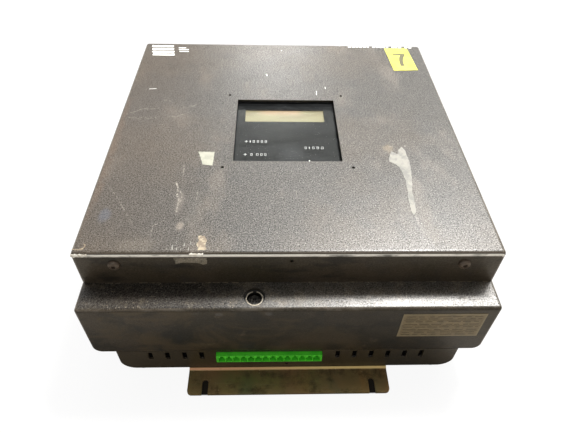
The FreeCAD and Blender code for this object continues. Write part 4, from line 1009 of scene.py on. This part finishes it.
# remains of adhesive tape at the front edge, left of the middle
# ticks: start x, y, end x, y, half width at the end
TAPE_TICKS = (
    (-72.6, -114.9, -72.3, -119.0, 0.55), (-69.9, -117.4, -69.7, -119.4, 0.45),
    (-65.5, -113.5, -65.5, -116.2, 0.45), (-62.1, -112.1, -61.5, -115.0, 0.40),
    (-62.6, -117.1, -62.5, -119.4, 0.45), (-70.8, -112.1, -70.4, -114.2, 0.30),
    (-75.8, -117.8, -75.4, -119.0, 0.25), (-67.3, -118.0, -67.1, -119.2, 0.25))
tape_ticks = [ragged(sliver(*tick, start_scale=0.4), step=0.9, tear=0.12, seed=120 + k)
              for k, tick in enumerate(TAPE_TICKS)]
add_piece("tape_ticks", raised(tape_ticks, LID_TOP, 0.06), pale)

TAPE_SHREDS = [
    (-57.6, -107.7), (-53.8, -107.7), (-52.0, -111.4), (-52.7, -115.7), (-51.6, -118.4),
    (-52.3, -119.3), (-57.0, -119.4), (-56.6, -117.6), (-58.2, -115.0), (-57.0, -111.4)]
add_piece("tape_shreds",
          raised([ragged(TAPE_SHREDS, step=1.2, tear=0.3, seed=31)], LID_TOP, 0.08), tape_cream)

# on the front flange, as (x, z)
TAPE_FRONT = [(-71.6, 102.6), (-51.6, 102.6), (-51.9, 96.8), (-54.4, 96.0), (-57.5, 97.6),
              (-66.0, 98.2), (-70.8, 96.6)]
add_piece("tape_front", between([ragged(TAPE_FRONT, step=1.4, tear=0.28, seed=35)],
                                LID_FRONT - 0.12, LID_FRONT + 0.02), tape_aged, axis="y")


def edge_chip(name, x0, x1, top, bottom, seed):
    """A thin closed skin on the lid's front bend, from top to bottom in degrees from upright."""
    column_width, steps_round = 1.2, 5
    skin = (-0.02, 0.07)  # heights of its inner and outer faces over the bend
    jag = 0.25            # most that either edge draws in, as a share of the sweep
    rand = random.Random(seed)
    bm = bmesh.new()
    columns = max(4, int((x1 - x0) / column_width))
    centre_y, centre_z = LID_FRONT + LID_BEND_RADIUS, LID_TOP - LID_BEND_RADIUS
    sweep = bottom - top
    tops = [top + rand.uniform(0, jag) * sweep for _ in range(columns + 1)]
    bottoms = [bottom - rand.uniform(0, jag) * sweep for _ in range(columns + 1)]
    rows = []
    for i in range(columns + 1):
        x = x0 + (x1 - x0) * i / columns
        row = []
        for j in range(steps_round + 1):
            a = math.radians(tops[i] + (bottoms[i] - tops[i]) * j / steps_round)
            for height in skin:
                r = LID_BEND_RADIUS + height
                row.append(bm.verts.new(Vector((x, centre_y - r * math.sin(a),
                                                centre_z + r * math.cos(a))) * MM))
        rows.append(row)
    last = 2 * steps_round
    for p, q in zip(rows[:-1], rows[1:]):
        for j in range(0, last, 2):
            bm.faces.new((p[j + 1], q[j + 1], q[j + 3], p[j + 3]))
            bm.faces.new((p[j], p[j + 2], q[j + 2], q[j]))
        bm.faces.new((p[0], q[0], q[1], p[1]))
        bm.faces.new((p[last], p[last + 1], q[last + 1], q[last]))
    for p in (rows[0], rows[-1]):
        for j in range(0, last, 2):
            bm.faces.new((p[j], p[j + 1], p[j + 3], p[j + 2]))
    finish_piece(name, bm, bare_edge)


edge_chip("edge_chip_left", -132.6, -123.0, top=38, bottom=90, seed=51)
edge_chip("edge_chip_tape", -62.0, -53.5, top=30, bottom=88, seed=52)

# a hooked streak at the lid's front left corner
EDGE_RESIDUE = [
    (-132.2, -118.9), (-129.0, -119.3), (-126.0, -118.9), (-124.6, -116.4), (-125.2, -114.6),
    (-126.6, -114.0), (-126.2, -114.8), (-125.3, -115.4), (-125.6, -117.0), (-127.4, -118.1),
    (-129.6, -118.4), (-132.0, -118.2)]
add_piece("edge_residue_left",
          raised([ragged(EDGE_RESIDUE, step=0.6, tear=0.34, seed=55)], LID_TOP, 0.07), tape_cream)

# the digit on the lot tag: a bar and a curving leg
NUMERAL_BAR = [(103.6, 125.6), (103.8, 123.0), (111.2, 123.6), (115.6, 124.2), (115.4, 126.8)]
NUMERAL_LEG = [(111.0, 123.6), (115.4, 124.0), (113.2, 119.2), (111.8, 114.0), (111.3, 108.4),
               (111.6, 103.6), (108.0, 103.4), (107.8, 109.0), (108.3, 114.6), (109.4, 119.6)]
add_piece("tag_numeral", between([NUMERAL_BAR, NUMERAL_LEG], TAG_TOP - 0.12, TAG_TOP + 0.02),
          tag_ink)


def label_ruling():
    """Broken lines on the rating label in place of wording, then three thin full rules."""
    rand = random.Random(9)
    left, right, half_line, shortest = 73.6, 122.8, 0.32, 1.2
    outlines = []
    for z in (68.6, 66.2, 63.0, 59.8, 56.6, 53.4, 50.2, 47.6):
        x = left
        while x < 122.0:
            width = min(rand.uniform(3.0, 9.0), right - x)
            if width > shortest:
                outlines.append(rect(x, z - half_line, x + width, z + half_line))
            x += width + rand.uniform(1.0, 3.5)
    return outlines + [rect(72.4, z - 0.09, 124.0, z + 0.09) for z in (64.6, 58.2, 51.8)]


add_piece("label_ruling", between(label_ruling(), LABEL_FRONT - 0.05, LABEL_FRONT + 0.02),
          label_ink, body="case", axis="y")


def seam_grit():
    """Grit lodged where the lid's flange meets the shelf, as prisms along Y."""
    rand = random.Random(17)
    # the shell's box gives the shelf's height unless it reaches up past 80
    shelf = SHELL_TOP if SHELL_TOP < 80 else 77.5
    prisms = []
    x = -129.0
    while x < 129.0:
        width = rand.uniform(1.5, 7.0)
        if rand.random() < 0.72:
            grit = ragged(rect(x, -0.02, min(x + width, 129.5), rand.uniform(0.10, 0.34)),
                          step=1.0, tear=0.05, seed=int(x * 7) + 999)
            prisms.append(([(u, v + shelf) for u, v in grit],
                           LID_FRONT - rand.uniform(0.25, 0.5), LID_FRONT - 0.06))
        x += width + rand.uniform(0.0, 2.0)
    return prisms


add_piece("seam_grit", seam_grit(), seam_dust, body="case", axis="y")

# a black sheet of painted shade on the edge of the main board, behind the vents, either side of the
# header
header_lo, header_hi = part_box("terminal_header")
HEADER_GAP = 1.2
shade_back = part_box("main_board")[0].y * 1000 - 0.25
shade_front = max(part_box("base_pan")[0].y * 1000 + 2.0, shade_back - 0.9)
shade_sheets = [rect(x0, 12.2, x1, 25.2, radius=1.2)
          for x0, x1 in ((-106.0, header_lo.x * 1000 - HEADER_GAP),
                         (header_hi.x * 1000 + HEADER_GAP, 101.0))]
add_piece("vent_shade_sheet", between(shade_sheets, shade_front, shade_back), vent_shade_black, body="case",
          axis="y")

# ------------------------------------------------------------------ floor, in metres
FLOOR_HALF = 4.0
FLOOR_Z = -0.0004


def floor_pale():
    """Bright to the camera, dull to everything else."""
    g = Graph("floor_pale")
    place = g.separate(g.node("NewGeometry").outputs["Position"])
    # deep contact shade under the fixing flanges, as seen through their slots
    front_lo, front_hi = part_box("mounting_bracket_front")
    rear_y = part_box("mounting_bracket_rear")[1].y
    shade = g.mul(
        g.band(place[0], front_lo.x + 0.004, front_hi.x - 0.004, soft=0.0012, curve="LINEAR"),
        g.band(place[1], front_lo.y + 0.0004, rear_y - 0.0004, soft=0.0004, curve="LINEAR"))
    bright = g.mix_shaders(0.92, g.shader("BsdfDiffuse", Color=(0.80, 0.80, 0.80, 1)),
                           g.shader("Emission", Color=(1, 1, 1, 1), Strength=1.0))
    seen = g.mix_shaders(shade, bright, g.shader("BsdfDiffuse", Color=(0.03, 0.027, 0.022, 1)))
    dull = g.shader("BsdfDiffuse", Color=(0.30, 0.28, 0.25, 1))
    is_camera = g.node("LightPath").outputs["Is Camera Ray"]
    g.node("OutputMaterial", Surface=g.mix_shaders(is_camera, dull, seen))
    return g.material


floor_mesh = bpy.data.meshes.new("floor")
floor_mesh.from_pydata([(x * FLOOR_HALF, y * FLOOR_HALF, FLOOR_Z)
                        for x, y in ((-1, -1), (1, -1), (1, 1), (-1, 1))], [], [(0, 1, 2, 3)])
floor = bpy.data.objects.new("floor", floor_mesh)
bpy.context.scene.collection.objects.link(floor)
floor_mesh.materials.append(floor_pale())

# ------------------------------------------------------------------ world
world = bpy.data.worlds.new("studio")
bpy.context.scene.world = world
sky = Nodes(world)
direction_y = sky.separate(sky.node("TexCoord").outputs["Generated"])[1]
# the surroundings brighten towards the rear; the camera itself sees plain white
strength = sky.line(direction_y, -0.1, 0.6, 0.36, 1.50, curve="SMOOTHSTEP")
surroundings = sky.shader("Background", Color=(1.0, 0.985, 0.96, 1), Strength=strength)
backdrop = sky.shader("Background", Color=(1, 1, 1, 1), Strength=1.0)
sky.node("OutputWorld", Surface=sky.mix_shaders(
    sky.node("LightPath").outputs["Is Camera Ray"], surroundings, backdrop))

# ------------------------------------------------------------------ lights
LIGHT_TARGET = Vector((0, 0, 0.09))
# name, azimuth and elevation in degrees, distance, width and height in metres, watts, colour;
# azimuth is clockwise from +Y, seen from above
LIGHTS = (
    ("key_panel", 38, 62, 2.2, 0.50, 0.27, 84, (1.0, 0.985, 0.955)),
    ("key_spill", 54, 51, 2.4, 1.3, 1.1, 34, (1.0, 0.985, 0.955)),
    ("top_soft", 14, 64, 2.4, 1.0, 0.6, 17, (1.0, 0.985, 0.96)),
    ("back_strip", 0.3, 25, 2.4, 0.34, 0.66, 7.9, (1.0, 0.985, 0.96)),
    ("front_fill", -165, 30, 2.6, 2.4, 1.4, 7, (1.0, 0.98, 0.95)))

for name, azimuth, elevation, distance, width, height, power, color in LIGHTS:
    light = bpy.data.lights.new(name, "AREA")
    light.shape = "RECTANGLE"
    light.size = width
    light.size_y = height
    light.energy = power
    light.color = color
    lamp = bpy.data.objects.new(name, light)
    bpy.context.scene.collection.objects.link(lamp)
    a, e = math.radians(azimuth), math.radians(elevation)
    outward = Vector((math.sin(a) * math.cos(e), math.cos(a) * math.cos(e), math.sin(e)))
    lamp.location = LIGHT_TARGET + outward * distance
    lamp.rotation_mode = "QUATERNION"
    lamp.rotation_quaternion = (-outward).to_track_quat("-Z", "Y")

# ------------------------------------------------------------------ camera
CAMERA_PLACE = (-12.39, -313.37, 336.09)
# radians: yaw is clockwise from +Y seen from above, pitch is downward
YAW, PITCH, ROLL = 0.05, 0.802, 0.036

camera = bpy.data.cameras.new("camera")
camera_object = bpy.data.objects.new("camera", camera)
bpy.context.scene.collection.objects.link(camera_object)
forward = Vector((math.sin(YAW) * math.cos(PITCH), math.cos(YAW) * math.cos(PITCH),
                  -math.sin(PITCH)))
right = Vector((math.cos(YAW), -math.sin(YAW), 0.0))
up = right.cross(forward)
rolled_right = right * math.cos(ROLL) + up * math.sin(ROLL)
rolled_up = up * math.cos(ROLL) - right * math.sin(ROLL)
pose = Matrix((rolled_right, rolled_up, -forward)).transposed().to_4x4()
pose.translation = Vector(CAMERA_PLACE) * MM
camera_object.matrix_world = pose
camera.sensor_fit = "HORIZONTAL"
camera.sensor_width = 36.0
camera.lens = 30.7972825
camera.clip_start = 0.01
camera.clip_end = 50.0
bpy.context.scene.camera = camera_object
bpy.context.scene.view_settings.view_transform = "Standard"
bpy.context.scene.view_settings.look = "None"
